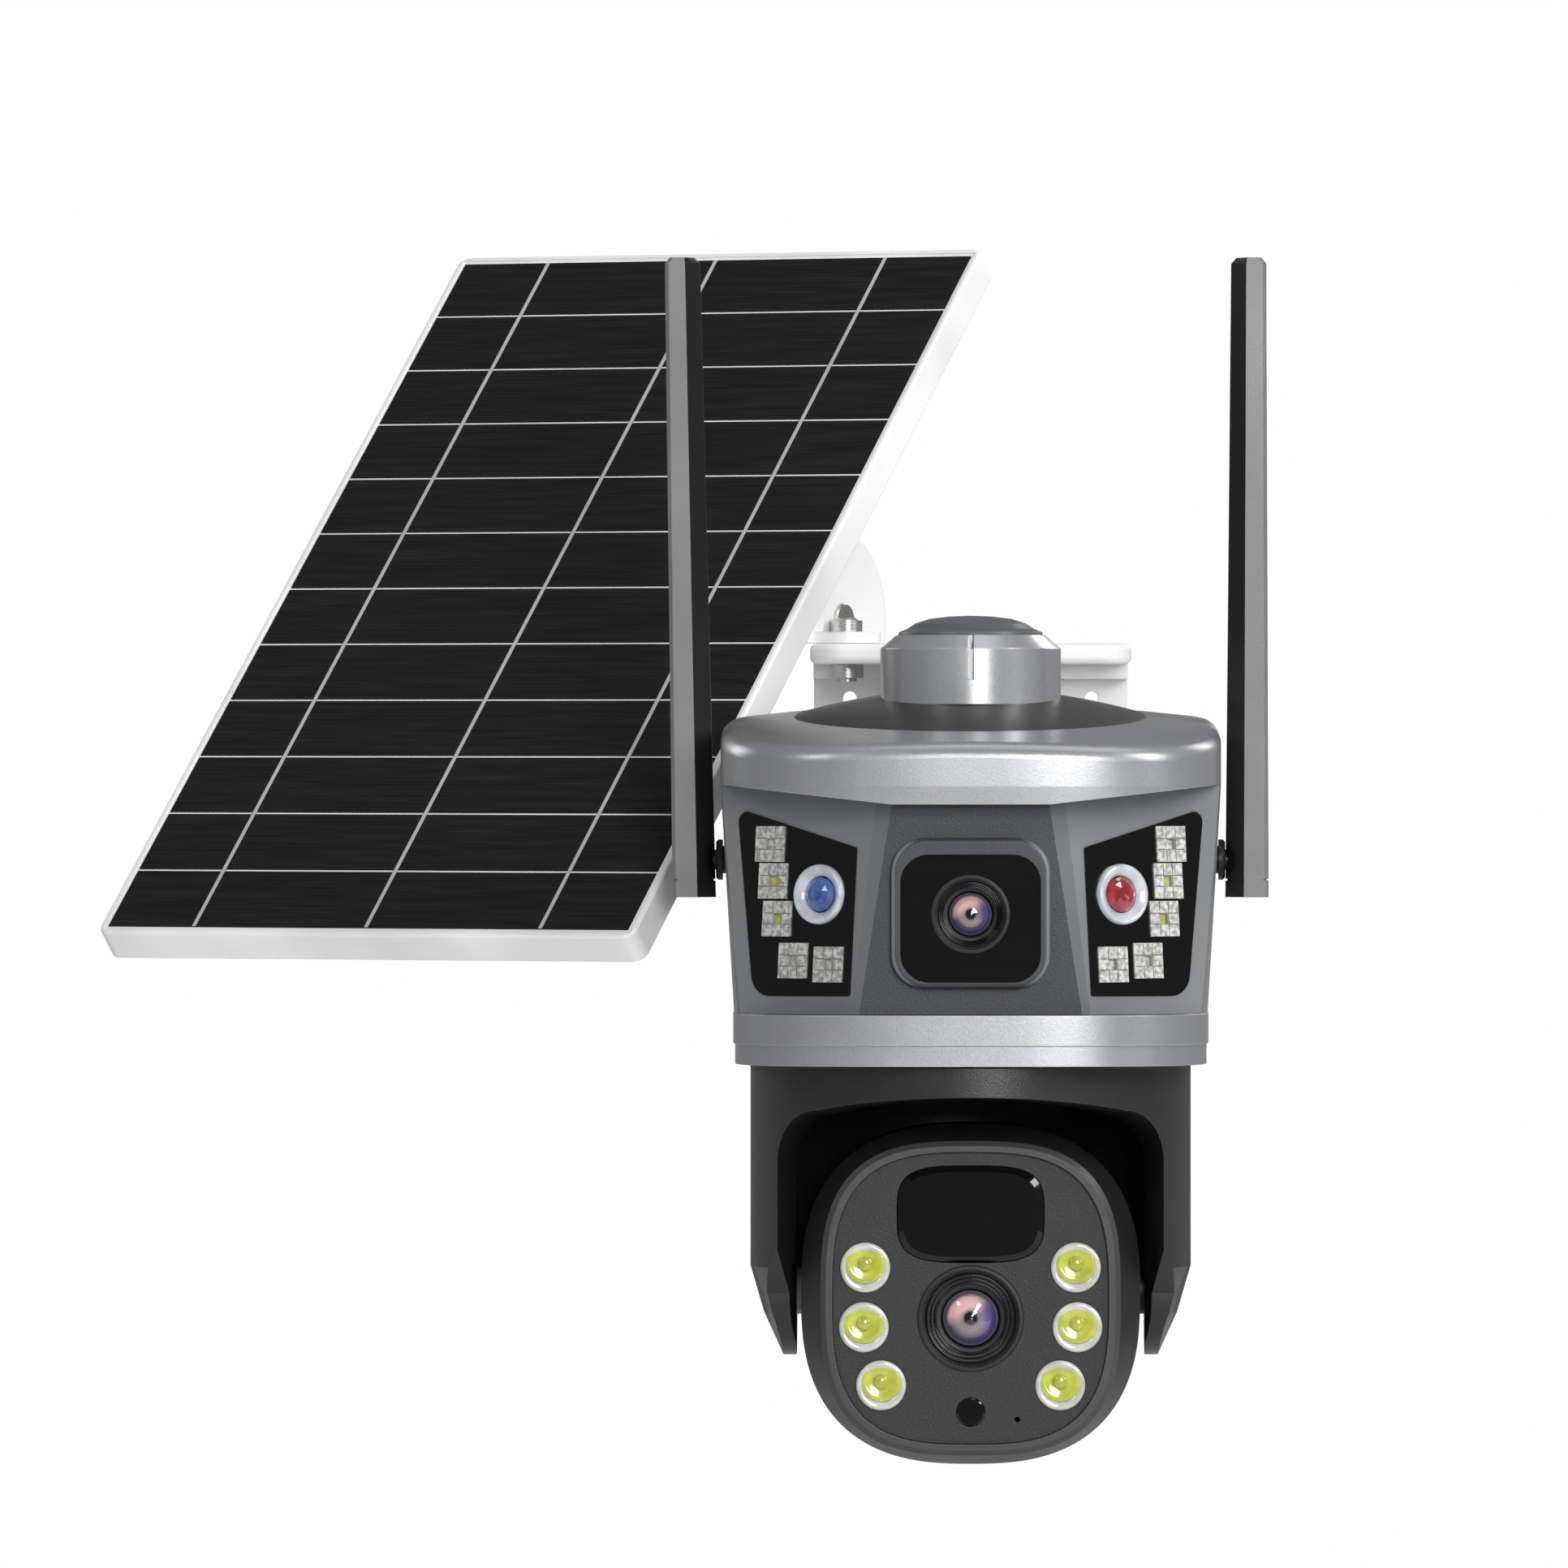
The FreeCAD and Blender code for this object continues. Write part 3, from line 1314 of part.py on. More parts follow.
def make_head_optics():
    front = number(cell.head_front)
    surface = front + 1.4
    window = motion_block(18.7, 12.3, surface - 3, surface - 0.2)
    edge = motion_block_wire(18.7, 12.3, surface - 0.2)
    crown = loft([edge, motion_block_wire(17.2, 10.8, surface + 1.0)])
    node("motion_window", shape_object("motion_window_solid", window.fuse(crown), head_placement()))
    base = cell.tilt_level
    y = PAN_Y - surface
    turn = TURN["-Y"]
    x, level = HEAD_LENS[0], base + HEAD_LENS[1]
    hood = lens_profile(13.5, HEAD_GLASS_RADIUS)
    glass = glass_profile(HEAD_GLASS_RADIUS, 5)
    node("head_lens_barrel", turned("head_barrel", hood, x, y, level, turn))
    node("head_lens_glass", turned("head_glass", glass, x, y + 7, level, turn))
    cup = [(0, -3.2), (6.4, -3.2), (6.4, 0.5), (6, 1.1), (5.4, 1.1), (2, -2.2), (0, -2.2)]
    chip = [(0, 0), (1.9, 0), (1.9, 0.8), (1.3, 1.5), (0, 1.8)]
    cups, chips = [], []
    for i, (x, z) in enumerate(SPOT_PLACES):
        cups.append(turned("spot_cup_%d" % i, cup, x, y, base + z, turn))
        chips.append(turned("spot_chip_%d" % i, chip, x, y + 2.2, base + z, turn))
    node("spot_cups", group("spot_cup_group", cups))
    node("spot_leds", group("spot_led_group", chips))
    sensor = [(0, -2.6), (3.6, -2.6), (3.6, 0.1), (3.2, 0.4), (0, 0.5)]
    x, z = LIGHT_SENSOR
    node("light_sensor", turned("light_sensor_body", sensor, x, y, base + z, turn))
    board = Part.makeBox(56, 54, 1.6, Vector(-28, -29, front - 10.4))
    board = board.fuse(Part.makeCylinder(4.6, 6, Vector(0, MOTION_WINDOW[1], front - 9)))
    node("head_board", shape_object("head_board_solid", board, head_placement()))


def motion_block_wire(half_x, half_y, level):
    outline = power_curve(half_x, half_y, WINDOW_POWER, level)
    outline.translate(Vector(MOTION_WINDOW[0], MOTION_WINDOW[1], 0))
    return outline


def make_tilt_drive():
    """Motor in the head whose pinion climbs the fixed gear on the left trunnion."""
    centre = PAN_Y + cell.tilt_centres
    teeth = 10
    # one of the pinion's teeth stands in the fixed gear's gap
    turn = TURN["-X"] * Rotation(Vector(0, 0, 1), -90)
    level = cell.tilt_level
    pinion = toothed_wheel("tilt_pinion_body", teeth, 4, 1.8, 4, 0, TILT_GEAR_X, centre, level, turn)
    shaft = cylinder("tilt_pinion_shaft", 1.8, TILT_GEAR_X - 0.5, centre, cell.tilt_level, 7.5, "X")
    node("tilt_pinion", fuse("tilt_pinion_whole", pinion, shaft))
    motor = turned(
        "tilt_motor_body",
        [(1.85, 0), (10, 0), (10, 17), (8.5, 18.5), (0, 18.5), (0, 5), (1.85, 5)],
        TILT_GEAR_X + 2.5, centre, cell.tilt_level, TURN["X"],
    )
    node("tilt_motor", motor)


# ---- solar panel -----------------------------------------------------------------------------


def hinge_turn(tilted):
    """Local X runs along the tilt hinge, local Y points to the panel's back, local Z up the panel."""
    turn = Rotation(Vector(0, 0, 1), -number(cell.panel_yaw))
    return turn * Rotation(Vector(1, 0, 0), -number(cell.panel_tilt)) if tilted else turn


def hinge_placement(tilted):
    hinge = Vector(number(cell.hinge_x), number(cell.hinge_y), number(cell.hinge_z))
    return Placement(hinge, hinge_turn(tilted))


def hinge_node(label, shape, tilted=True):
    """A piece made in the hinge's frame; tilted pieces lean with the panel."""
    node(label, shape_object(label + "_solid", shape, hinge_placement(tilted)))


def yaw_bolt_local():
    """The yaw bolt's centre seen from the untilted hinge frame."""
    bolt = Vector(-number(cell.flange_hole_offset), -number(cell.flange_hole_reach), 0)
    return hinge_placement(False).inverse().multVec(bolt)


def make_hinge_base():
    radius, half = number(cell.cheek_radius), number(cell.cheek_half_thick)
    low = number(PLATE_TOP) + 0.1 - number(cell.hinge_z)
    bolt = yaw_bolt_local()
    round_top = Part.makeCylinder(radius, 2 * half, Vector(-half, 0, 0), Vector(1, 0, 0))
    above = Part.makeBox(10, 100, 60, Vector(-5, -50, low))
    cheek = round_top.common(above)
    foot = Part.makeCylinder(9, 3, Vector(bolt.x, bolt.y, low))
    bridge = Part.makeBox(bolt.x + half, 18, 3, Vector(-half, bolt.y - 9, low))
    whole = cheek.fuse([foot, bridge])
    tools = [
        Part.makeCylinder(number(cell.hinge_bolt_radius) + 0.05, 20, Vector(-10, 0, 0), Vector(1, 0, 0)),
        Part.makeCylinder(2.7, 10, Vector(bolt.x, bolt.y, low - 3)),
        Part.makeCylinder(5.3, 1.6, Vector(half, 0, 0), Vector(1, 0, 0)),
    ]
    hinge_node("panel_hinge_base", whole.cut(tools).removeSplitter(), tilted=False)
    head = 47.7 - number(PLATE_TOP)
    nut = number(cell.flange_thick) + 3.6
    profile = [
        (0, -nut - 1), (2.6, -nut - 1), (2.6, -nut), (4.5, -nut), (4.5, -nut + 3.5), (2.65, -nut + 3.5),
        (2.65, 3.15), (4.1, 3.15), (4.1, head - 0.6), (3.4, head), (0, head),
    ]
    x, y = -cell.flange_hole_offset, -cell.flange_hole_reach
    node("yaw_bolt", turned("yaw_bolt_body", profile, x, y, PLATE_TOP))


def make_panel_frame():
    width, height, thick = number(cell.panel_width), number(cell.panel_height), number(cell.panel_thick)
    x, z, front = number(cell.panel_x), number(cell.panel_z), number(cell.panel_front)
    body = Part.makeBox(width, thick, height, Vector(x - width / 2, front, z - height / 2))
    body = body.makeFillet(3.5, [e for e in body.Edges if runs_along("Y")(e)])
    rim = [e for e in body.Edges if e.BoundBox.YMax < front + 0.01]
    body = body.makeFillet(0.8, rim)
    lip = 1.6
    well = Part.makeBox(width - 2 * lip, 3, height - 2 * lip,
                        Vector(x - width / 2 + lip, front - 1.8, z - height / 2 + lip))
    wall = 4
    pockets = Part.makeBox(width - 2 * wall, 20, height - 2 * wall,
                           Vector(x - width / 2 + wall, front + 3.4, z - height / 2 + wall))
    ribs = [Part.makeBox(3, 40, 400, Vector(x + side * 27 - 1.5, front, z - 200)) for side in (-1, 1)]
    ribs += [Part.makeBox(400, 40, 3, Vector(x - 200, front, z + step * 64 - 1.5)) for step in (-1, 0, 1)]
    ribs.append(Part.makeBox(88, 40, 44, Vector(-92, front, -22)))
    ribs.append(Part.makeBox(54, 40, 38, Vector(x - 36, front, -94)))
    hinge_node("panel_frame", body.cut([well, pockets.cut(ribs)]))
    sheet = Part.makeBox(width - 2 * lip, 0.8, height - 2 * lip,
                         Vector(x - width / 2 + lip, front + 0.4, z - height / 2 + lip))
    hinge_node("panel_backsheet", sheet)


def make_cells():
    x, z, front = number(cell.panel_x), number(cell.panel_z), number(cell.panel_front)
    count = int(number(cell.cell_count))
    wide, high, pitch = number(cell.cell_width), number(cell.cell_height), number(cell.cell_pitch)
    strips = []
    for i in range(count):
        middle = z + (i - (count - 1) / 2) * pitch
        strips.append(Part.makeBox(wide, 0.25, high, Vector(x - wide / 2, front + 0.15, middle - high / 2)))
    hinge_node("solar_cells", Part.makeCompound(strips))
    ribbon, length = 1.1, count * pitch - 1
    ribbons = []
    for part in (-1, 0, 1):
        left = x + part * wide / 3 - ribbon / 2
        ribbons.append(Part.makeBox(ribbon, 0.1, length, Vector(left, front + 0.05, z - length / 2)))
    hinge_node("cell_ribbons", Part.makeCompound(ribbons))


def make_carrier():
    back = number(cell.panel_front + cell.panel_thick)
    base = Part.makeBox(83, 3, 40, Vector(-86, back, -20))
    base = base.makeFillet(5, [e for e in base.Edges if runs_along("Y")(e)])
    ear_x, ear_thick, ear_radius = -8.6, 5.0, 5.4
    ear = Part.makeCylinder(ear_radius, ear_thick, Vector(ear_x, 0, 0), Vector(1, 0, 0))
    half_side = [(0, ear_radius), (-12, ear_radius), (back + 1, 15)]
    side = half_side + [(y, -z) for y, z in reversed(half_side)]
    stem = prism([Vector(ear_x, y, z) for y, z in side], Vector(ear_thick, 0, 0))
    gusset = [(ear_x, back + 1), (ear_x, -9), (-60, back + 1)]
    rib = prism([Vector(x, y, -2) for x, y in gusset], Vector(0, 0, 4))
    whole = base.fuse([ear, stem, rib])
    bore = Part.makeCylinder(number(cell.hinge_bolt_radius) + 0.02, 20, Vector(-20, 0, 0), Vector(1, 0, 0))
    bolt_room = Part.makeCylinder(6.6, 8.4, Vector(ear_x - 8.4, 0, 0), Vector(1, 0, 0))
    hinge_node("panel_carrier", whole.cut([bore, bolt_room]))
    radius = number(cell.hinge_bolt_radius)
    profile = [
        (0, -13.5), (radius, -13.5), (radius, -12.6), (5.4, -12.6), (5.4, -8.7), (radius, -8.7),
        (radius, 2.55), (5, 2.55), (5, 3.2), (4.6, 3.6), (0, 3.6),
    ]
    bolt = turned("hinge_bolt_body", profile)
    bolt.Placement = hinge_placement(True).multiply(Placement(Vector(0, 0, 0), TURN["X"]))
    node("hinge_bolt", bolt)
    x = number(cell.panel_x)
    case = Part.makeBox(50, 12, 34, Vector(x - 34, back, -92))
    case = case.makeFillet(3, [e for e in case.Edges if runs_along("Y")(e)])
    outlet = Part.makeCylinder(3.4, 7, Vector(x - 9, back + 6, -92), Vector(0, 0, -1))
    hole = Part.makeCylinder(1.8, 12, Vector(x - 9, back + 6, -90), Vector(0, 0, -1))
    hinge_node("junction_box", case.fuse(outlet).cut(hole))


# ---- the whole camera ------------------------------------------------------------------------


def check_and_write():
    doc.recompute()
    for obj in doc.Objects:
        if "Invalid" in obj.State or "Error" in obj.State:
            raise RuntimeError("%s failed: %s" % (obj.Name, obj.State))
    for label, obj in sub_parts.items():
        if obj.Shape.isNull() or not obj.Shape.isValid() or not obj.Shape.Solids:
            raise RuntimeError("%s has no valid solid" % label)
    os.makedirs("parts", exist_ok=True)
    for label, obj in sub_parts.items():
        obj.Shape.exportStep(os.path.join("parts", label + ".step"))
    print("wrote", len(sub_parts), "sub-parts")


fill_sheet()
make_wall_bracket()
make_arm()
make_arm_screws()
make_neck_cap()
make_housing_shell()
make_top_cap()
make_face_plate()
make_centre_window()
make_fixed_lens()
make_lamps()
make_base_ring()
make_housing_insides()
make_service_cover()
make_antennas()
make_pan_drive()
make_yoke()
make_arm_covers()
make_trunnions()
make_head_shell()
make_head_bezel()
make_head_face()
make_head_optics()
make_tilt_drive()
make_hinge_base()
make_panel_frame()
make_cells()
make_carrier()
check_and_write()
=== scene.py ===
import json
import math

import bmesh
import bpy
import numpy as np
from mathutils import Matrix, Vector


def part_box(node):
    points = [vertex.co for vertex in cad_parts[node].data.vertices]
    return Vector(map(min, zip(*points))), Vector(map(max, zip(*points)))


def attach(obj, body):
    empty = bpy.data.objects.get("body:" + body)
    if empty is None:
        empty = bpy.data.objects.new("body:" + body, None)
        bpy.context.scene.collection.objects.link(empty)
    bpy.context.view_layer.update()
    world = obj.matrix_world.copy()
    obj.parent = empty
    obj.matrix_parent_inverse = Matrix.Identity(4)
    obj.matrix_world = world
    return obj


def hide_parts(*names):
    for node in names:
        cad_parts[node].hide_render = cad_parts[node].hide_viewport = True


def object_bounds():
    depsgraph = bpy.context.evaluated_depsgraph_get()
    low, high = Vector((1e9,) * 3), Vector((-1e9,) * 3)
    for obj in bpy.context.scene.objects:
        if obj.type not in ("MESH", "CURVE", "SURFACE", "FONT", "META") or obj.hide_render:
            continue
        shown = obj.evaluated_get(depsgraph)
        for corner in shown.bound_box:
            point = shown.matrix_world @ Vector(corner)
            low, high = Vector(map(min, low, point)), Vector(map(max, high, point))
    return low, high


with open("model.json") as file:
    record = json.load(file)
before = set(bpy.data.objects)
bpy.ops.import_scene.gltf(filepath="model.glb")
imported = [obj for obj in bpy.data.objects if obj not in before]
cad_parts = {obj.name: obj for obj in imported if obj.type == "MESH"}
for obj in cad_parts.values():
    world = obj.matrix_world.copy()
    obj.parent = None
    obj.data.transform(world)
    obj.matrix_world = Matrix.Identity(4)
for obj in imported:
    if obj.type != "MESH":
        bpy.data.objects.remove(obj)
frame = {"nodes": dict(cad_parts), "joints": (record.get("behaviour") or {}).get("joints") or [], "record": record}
cad_bounds = [list(corner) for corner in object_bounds()]

UP = Vector((0, 0, 1))
STAGE_CENTRE = Vector((0, -0.13, 0))


# ---- node materials --------------------------------------------------------------------------


class Shader:
    """A Principled material with short ways to add the nodes that drive it."""

    def __init__(self, name, color, roughness, metallic=0.0, coat=0.0, coat_roughness=0.1, specular=0.5):
        self.material = bpy.data.materials.new(name)
        self.material.use_nodes = True
        self.nodes = self.material.node_tree.nodes
        self.surface = self.nodes["Principled BSDF"]
        self.set("Base Color", (*color, 1))
        self.set("Roughness", roughness)
        self.set("Metallic", metallic)
        self.set("Coat Weight", coat)
        self.set("Coat Roughness", coat_roughness)
        self.set("Specular IOR Level", specular)
        self.place = self.add("ShaderNodeTexCoord").outputs["Object"]

    def add(self, kind, **values):
        node = self.nodes.new(kind)
        for key, value in values.items():
            setattr(node, key, value)
        return node

    def set(self, socket, value):
        self.surface.inputs[socket].default_value = value

    def link(self, source, target):
        self.material.node_tree.links.new(source, target)

    def feed(self, socket, source):
        self.link(source, self.surface.inputs[socket])

    def noise(self, scale, detail=3.0, stretch=(1, 1, 1)):
        mapping = self.add("ShaderNodeMapping")
        mapping.inputs["Scale"].default_value = stretch
        self.link(self.place, mapping.inputs["Vector"])
        noise = self.add("ShaderNodeTexNoise")
        noise.inputs["Scale"].default_value = scale
        noise.inputs["Detail"].default_value = detail
        self.link(mapping.outputs["Vector"], noise.inputs["Vector"])
        return noise.outputs["Fac"]

    def ramp(self, source, low, high, low_color, high_color):
        ramp = self.add("ShaderNodeValToRGB")
        ramp.color_ramp.elements[0].position = low
        ramp.color_ramp.elements[0].color = low_color
        ramp.color_ramp.elements[1].position = high
        ramp.color_ramp.elements[1].color = high_color
        self.link(source, ramp.inputs["Fac"])
        return ramp.outputs["Color"]

    def grey(self, source, low, high, from_value, to_value):
        """A value that runs from one level to another as the source crosses a band."""
        span = self.add("ShaderNodeMapRange")
        span.inputs["From Min"].default_value = low
        span.inputs["From Max"].default_value = high
        span.inputs["To Min"].default_value = from_value
        span.inputs["To Max"].default_value = to_value
        self.link(source, span.inputs["Value"])
        return span.outputs["Result"]

    def math(self, operation, first, second=0.0):
        node = self.add("ShaderNodeMath", operation=operation)
        for socket, value in zip(node.inputs, (first, second)):
            if isinstance(value, (int, float)):
                socket.default_value = value
            else:
                self.link(value, socket)
        return node.outputs[0]

    def mix(self, factor, first, second, blend="MIX"):
        node = self.add("ShaderNodeMix", data_type="RGBA", blend_type=blend)
        for socket, value in ((node.inputs[0], factor), (node.inputs[6], first), (node.inputs[7], second)):
            if isinstance(value, (int, float, tuple)):
                socket.default_value = value
            else:
                self.link(value, socket)
        return node.outputs[2]

    def axis(self, name):
        split = self.add("ShaderNodeSeparateXYZ")
        self.link(self.place, split.inputs[0])
        return split.outputs[name]

    def edges(self, radius):
        """Near 1 on sharp edges and 0 on open faces."""
        bevel = self.add("ShaderNodeBevel", samples=4)
        bevel.inputs["Radius"].default_value = radius
        flat = self.add("ShaderNodeNewGeometry").outputs["Normal"]
        dot = self.add("ShaderNodeVectorMath", operation="DOT_PRODUCT")
        self.link(bevel.outputs[0], dot.inputs[0])
        self.link(flat, dot.inputs[1])
        return self.grey(dot.outputs["Value"], 0.995, 0.85, 0.0, 1.0)

    def relief(self, height, depth, distance=0.0002, softened=0.0):
        bump = self.add("ShaderNodeBump")
        bump.inputs["Strength"].default_value = depth
        bump.inputs["Distance"].default_value = distance
        self.link(height, bump.inputs["Height"])
        if softened:
            bevel = self.add("ShaderNodeBevel", samples=4)
            bevel.inputs["Radius"].default_value = softened
            self.link(bevel.outputs[0], bump.inputs["Normal"])
        self.feed("Normal", bump.outputs["Normal"])


def moulded(name, color, roughness, grain=0.25, wear_and_highlight=0.35, softened=0.0003, **finish):
    """Moulded plastic: fine spark-eroded grain, slow tone changes, slightly rubbed edges lightened further as a
    painted edge highlight.
    """
    shader = Shader(name, color, roughness, **finish)
    tone = shader.noise(22, 2)
    dark = tuple(c * 0.9 for c in color) + (1,)
    light = tuple(min(1.0, c * 1.1 + 0.002) for c in color) + (1,)
    body = shader.ramp(tone, 0.3, 0.7, dark, light)
    # Edge colour: rubbed wear plus a painted edge highlight, mixed in by the bevel edge mask.
    rubbed_and_highlit = tuple(min(1.0, c * 1.5 + 0.03) for c in color) + (1,)
    mask = shader.math("MULTIPLY", shader.edges(0.0006), wear_and_highlight)
    shader.feed("Base Color", shader.mix(mask, body, rubbed_and_highlit))
    patch = shader.noise(60, 4)
    shader.feed("Roughness", shader.grey(patch, 0.3, 0.7, roughness - 0.04, roughness + 0.05))
    shader.relief(shader.noise(2600, 2), grain, softened=softened)
    return shader.material


def silver_paint(name, tone=0.42, roughness=0.4):
    """Satin silver paint with fine flakes under a thin clear coat."""
    color = (tone, tone * 1.01, tone * 1.025)
    shader = Shader(name, color, roughness, metallic=0.55, coat=0.25, coat_roughness=0.3)
    flakes = shader.noise(4200, 2)
    dark = tuple(c * 0.88 for c in color) + (1,)
    light = tuple(c * 1.12 for c in color) + (1,)
    body = shader.ramp(flakes, 0.35, 0.65, dark, light)
    # Pale edges: a painted edge highlight, mixed in by the bevel edge mask.
    mask = shader.math("MULTIPLY", shader.edges(0.0007), 0.3)
    shader.feed("Base Color", shader.mix(mask, body, (0.75, 0.76, 0.77, 1)))
    patch = shader.noise(45, 3)
    shader.feed("Roughness", shader.grey(patch, 0.3, 0.7, roughness - 0.05, roughness + 0.05))
    shader.relief(shader.noise(1500, 3), 0.1, softened=0.0004)
    return shader.material


def powder_coat(name, tone=0.9):
    """White powder coat with its faint orange-peel skin."""
    color = (tone, tone, tone * 0.995)
    shader = Shader(name, color, 0.34, coat=0.2, coat_roughness=0.2)
    grime = shader.noise(35, 4)
    dull = (tone * 0.95, tone * 0.95, tone * 0.94, 1)
    shader.feed("Base Color", shader.ramp(grime, 0.25, 0.75, dull, (*color, 1)))
    shader.relief(shader.noise(900, 2), 0.12, softened=0.0005)
    return shader.material


def polished(name, color, roughness=0.06):
    """Deep polished window plastic with faint wipe marks."""
    shader = Shader(name, color, roughness, coat=0.3, coat_roughness=0.03, specular=0.25)
    wipes = shader.noise(40, 5, (1, 1, 6))
    shader.feed("Roughness", shader.grey(wipes, 0.4, 0.8, roughness, roughness + 0.06))
    shader.relief(shader.noise(120, 1), 0.01)
    return shader.material


def plated(name, tone=0.6, roughness=0.28):
    """Zinc-plated steel with drawn brush marks."""
    shader = Shader(name, (tone, tone, tone * 0.97), roughness, metallic=1.0)
    brush = shader.noise(900, 4, (1, 1, 12))
    shader.feed("Roughness", shader.grey(brush, 0.3, 0.7, roughness - 0.08, roughness + 0.12))
    shader.relief(brush, 0.08)
    return shader.material


def mirror_coat(name):
    """Pale metallised reflector with a mottled skin."""
    shader = Shader(name, (0.6, 0.6, 0.57), 0.35, metallic=0.3, coat=0.4)
    haze = shader.noise(900, 4)
    shader.feed("Roughness", shader.grey(haze, 0.3, 0.7, 0.28, 0.45))
    shader.feed("Base Color", shader.ramp(haze, 0.38, 0.62, (0.34, 0.34, 0.32, 1), (0.72, 0.72, 0.69, 1)))
    return shader.material


def tinted(name, color, deep, roughness=0.12, transmission=0.0):
    """Coloured lens plastic, deeper where the noise says the wall is thicker."""
    shader = Shader(name, color, roughness, coat=1.0, coat_roughness=0.04)
    cloud = shader.noise(260, 3)
    shader.feed("Base Color", shader.ramp(cloud, 0.35, 0.65, (*deep, 1), (*color, 1)))
    shader.set("Transmission Weight", transmission)
    shader.set("Subsurface Weight", 0.1)
    shader.set("Subsurface Scale", 0.001)
    return shader.material


def phosphor(name):
    """Yellow phosphor on the lit chips and clear silicone on the others, told apart by their level."""
    shader = Shader(name, (0.8, 0.78, 0.12), 0.3, coat=0.6)
    low, high = (corner.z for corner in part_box("lamp_chips"))
    lowest_lit, highest_lit = 0.2, 0.84
    level = shader.grey(shader.axis("Z"), low, high, 0.0, 1.0)
    above = shader.math("GREATER_THAN", level, lowest_lit)
    below = shader.math("LESS_THAN", level, highest_lit)
    lit = shader.math("MULTIPLY", above, below)
    shader.feed("Base Color", shader.mix(lit, (0.62, 0.62, 0.6, 1), (0.72, 0.74, 0.03, 1)))
    return shader.material


def lens_painted_reflections(name, centre, radius):
    """Coated front element with painted reflections: a dark pupil in a painted grey ring, a painted rose crescent
    above, painted violet on the right, a painted pale rim.
    """
    shader = Shader(name, (0.02, 0.02, 0.03), 0.04, coat=1.0, coat_roughness=0.02)
    shift = shader.add("ShaderNodeVectorMath", operation="SUBTRACT")
    shader.link(shader.place, shift.inputs[0])
    shift.inputs[1].default_value = centre
    flat = shader.add("ShaderNodeVectorMath", operation="MULTIPLY")
    shader.link(shift.outputs[0], flat.inputs[0])
    flat.inputs[1].default_value = (1 / radius, 0, 1 / radius)
    length = shader.add("ShaderNodeVectorMath", operation="LENGTH")
    shader.link(flat.outputs[0], length.inputs[0])
    ramp = shader.add("ShaderNodeValToRGB")
    stops = ramp.color_ramp.elements
    stops[0].position = 0.0
    stops[0].color = (0.001, 0.001, 0.003, 1)
    stops[1].position = 1.0
    stops[1].color = (0.02, 0.02, 0.025, 1)
    # Stops from 0.28 outward are painted reflections: the grey ring, the dark violet band and the pale rim.
    for position, color in (
        (0.2, (0.002, 0.002, 0.006, 1)),
        (0.28, (0.2, 0.18, 0.18, 1)),
        (0.42, (0.26, 0.23, 0.22, 1)),
        (0.58, (0.15, 0.14, 0.15, 1)),
        (0.8, (0.05, 0.04, 0.14, 1)),
        (0.93, (0.16, 0.17, 0.22, 1)),
    ):
        stop = stops.new(position)
        stop.color = color
    shader.link(length.outputs["Value"], ramp.inputs["Fac"])
    split = shader.add("ShaderNodeSeparateXYZ")
    shader.link(flat.outputs[0], split.inputs[0])
    ring = shader.grey(length.outputs["Value"], 0.22, 0.36, 0.0, 1.0)
    inner = shader.math("MULTIPLY", ring, shader.grey(length.outputs["Value"], 0.72, 0.86, 1.0, 0.0))
    lean = shader.math("SUBTRACT", split.outputs["Z"], shader.math("MULTIPLY", split.outputs["X"], 0.45))
    # Painted reflections: rose above and to the left, violet on the right.
    painted_rose_reflection = shader.math("MULTIPLY", inner, shader.grey(lean, 0.0, 0.4, 0.0, 1.0))
    with_rose_reflection = shader.mix(painted_rose_reflection, ramp.outputs["Color"], (0.72, 0.45, 0.42, 1))
    painted_violet_reflection = shader.math("MULTIPLY", inner, shader.grey(split.outputs["X"], 0.25, 0.6, 0.0, 0.8))
    shader.feed("Base Color", shader.mix(painted_violet_reflection, with_rose_reflection, (0.13, 0.08, 0.3, 1)))
    return shader.material


def solar_cell(name):
    """Dark silicon under matt resin, with fine printed fingers and slow cloudy tones."""
    shader = Shader(name, (0.02, 0.02, 0.021), 0.6, specular=0.03)
    fingers = shader.add("ShaderNodeTexWave", wave_type="BANDS", bands_direction="Z")
    fingers.inputs["Scale"].default_value = 330
    shader.link(shader.place, fingers.inputs["Vector"])
    line = shader.grey(fingers.outputs["Fac"], 0.93, 1.0, 0.0, 0.3)
    streak = shader.noise(40, 3, (1, 1, 20))
    dark = shader.ramp(streak, 0.35, 0.72, (0.013, 0.013, 0.0135, 1), (0.021, 0.021, 0.022, 1))
    shader.feed("Base Color", shader.mix(line, dark, (0.04, 0.04, 0.043, 1)))
    patch = shader.noise(30, 3)
    shader.feed("Roughness", shader.grey(patch, 0.3, 0.7, 0.44, 0.56))
    return shader.material


def antenna_painted_shade(name, inward):
    """Satin grey on the blade's flat faces; the bevels that face the camera's body are painted near black as
    shade.
    """
    shader = Shader(name, (0.08, 0.08, 0.082), 0.34, coat=0.15)
    normal = shader.add("ShaderNodeTexCoord").outputs["Normal"]
    split = shader.add("ShaderNodeSeparateXYZ")
    shader.link(normal, split.inputs[0])
    # Painted shade: faces turned toward the camera's body get the near-black colour.
    side = shader.math("MULTIPLY", split.outputs["X"], inward)
    mask = shader.grey(side, 0.15, 0.3, 0.0, 1.0)
    tone = shader.ramp(shader.noise(30, 3), 0.3, 0.7, (0.15, 0.15, 0.154, 1), (0.19, 0.19, 0.194, 1))
    shader.feed("Base Color", shader.mix(mask, tone, (0.004, 0.004, 0.0045, 1)))
    shader.relief(shader.noise(2400, 2), 0.12, softened=0.0003)
    return shader.material


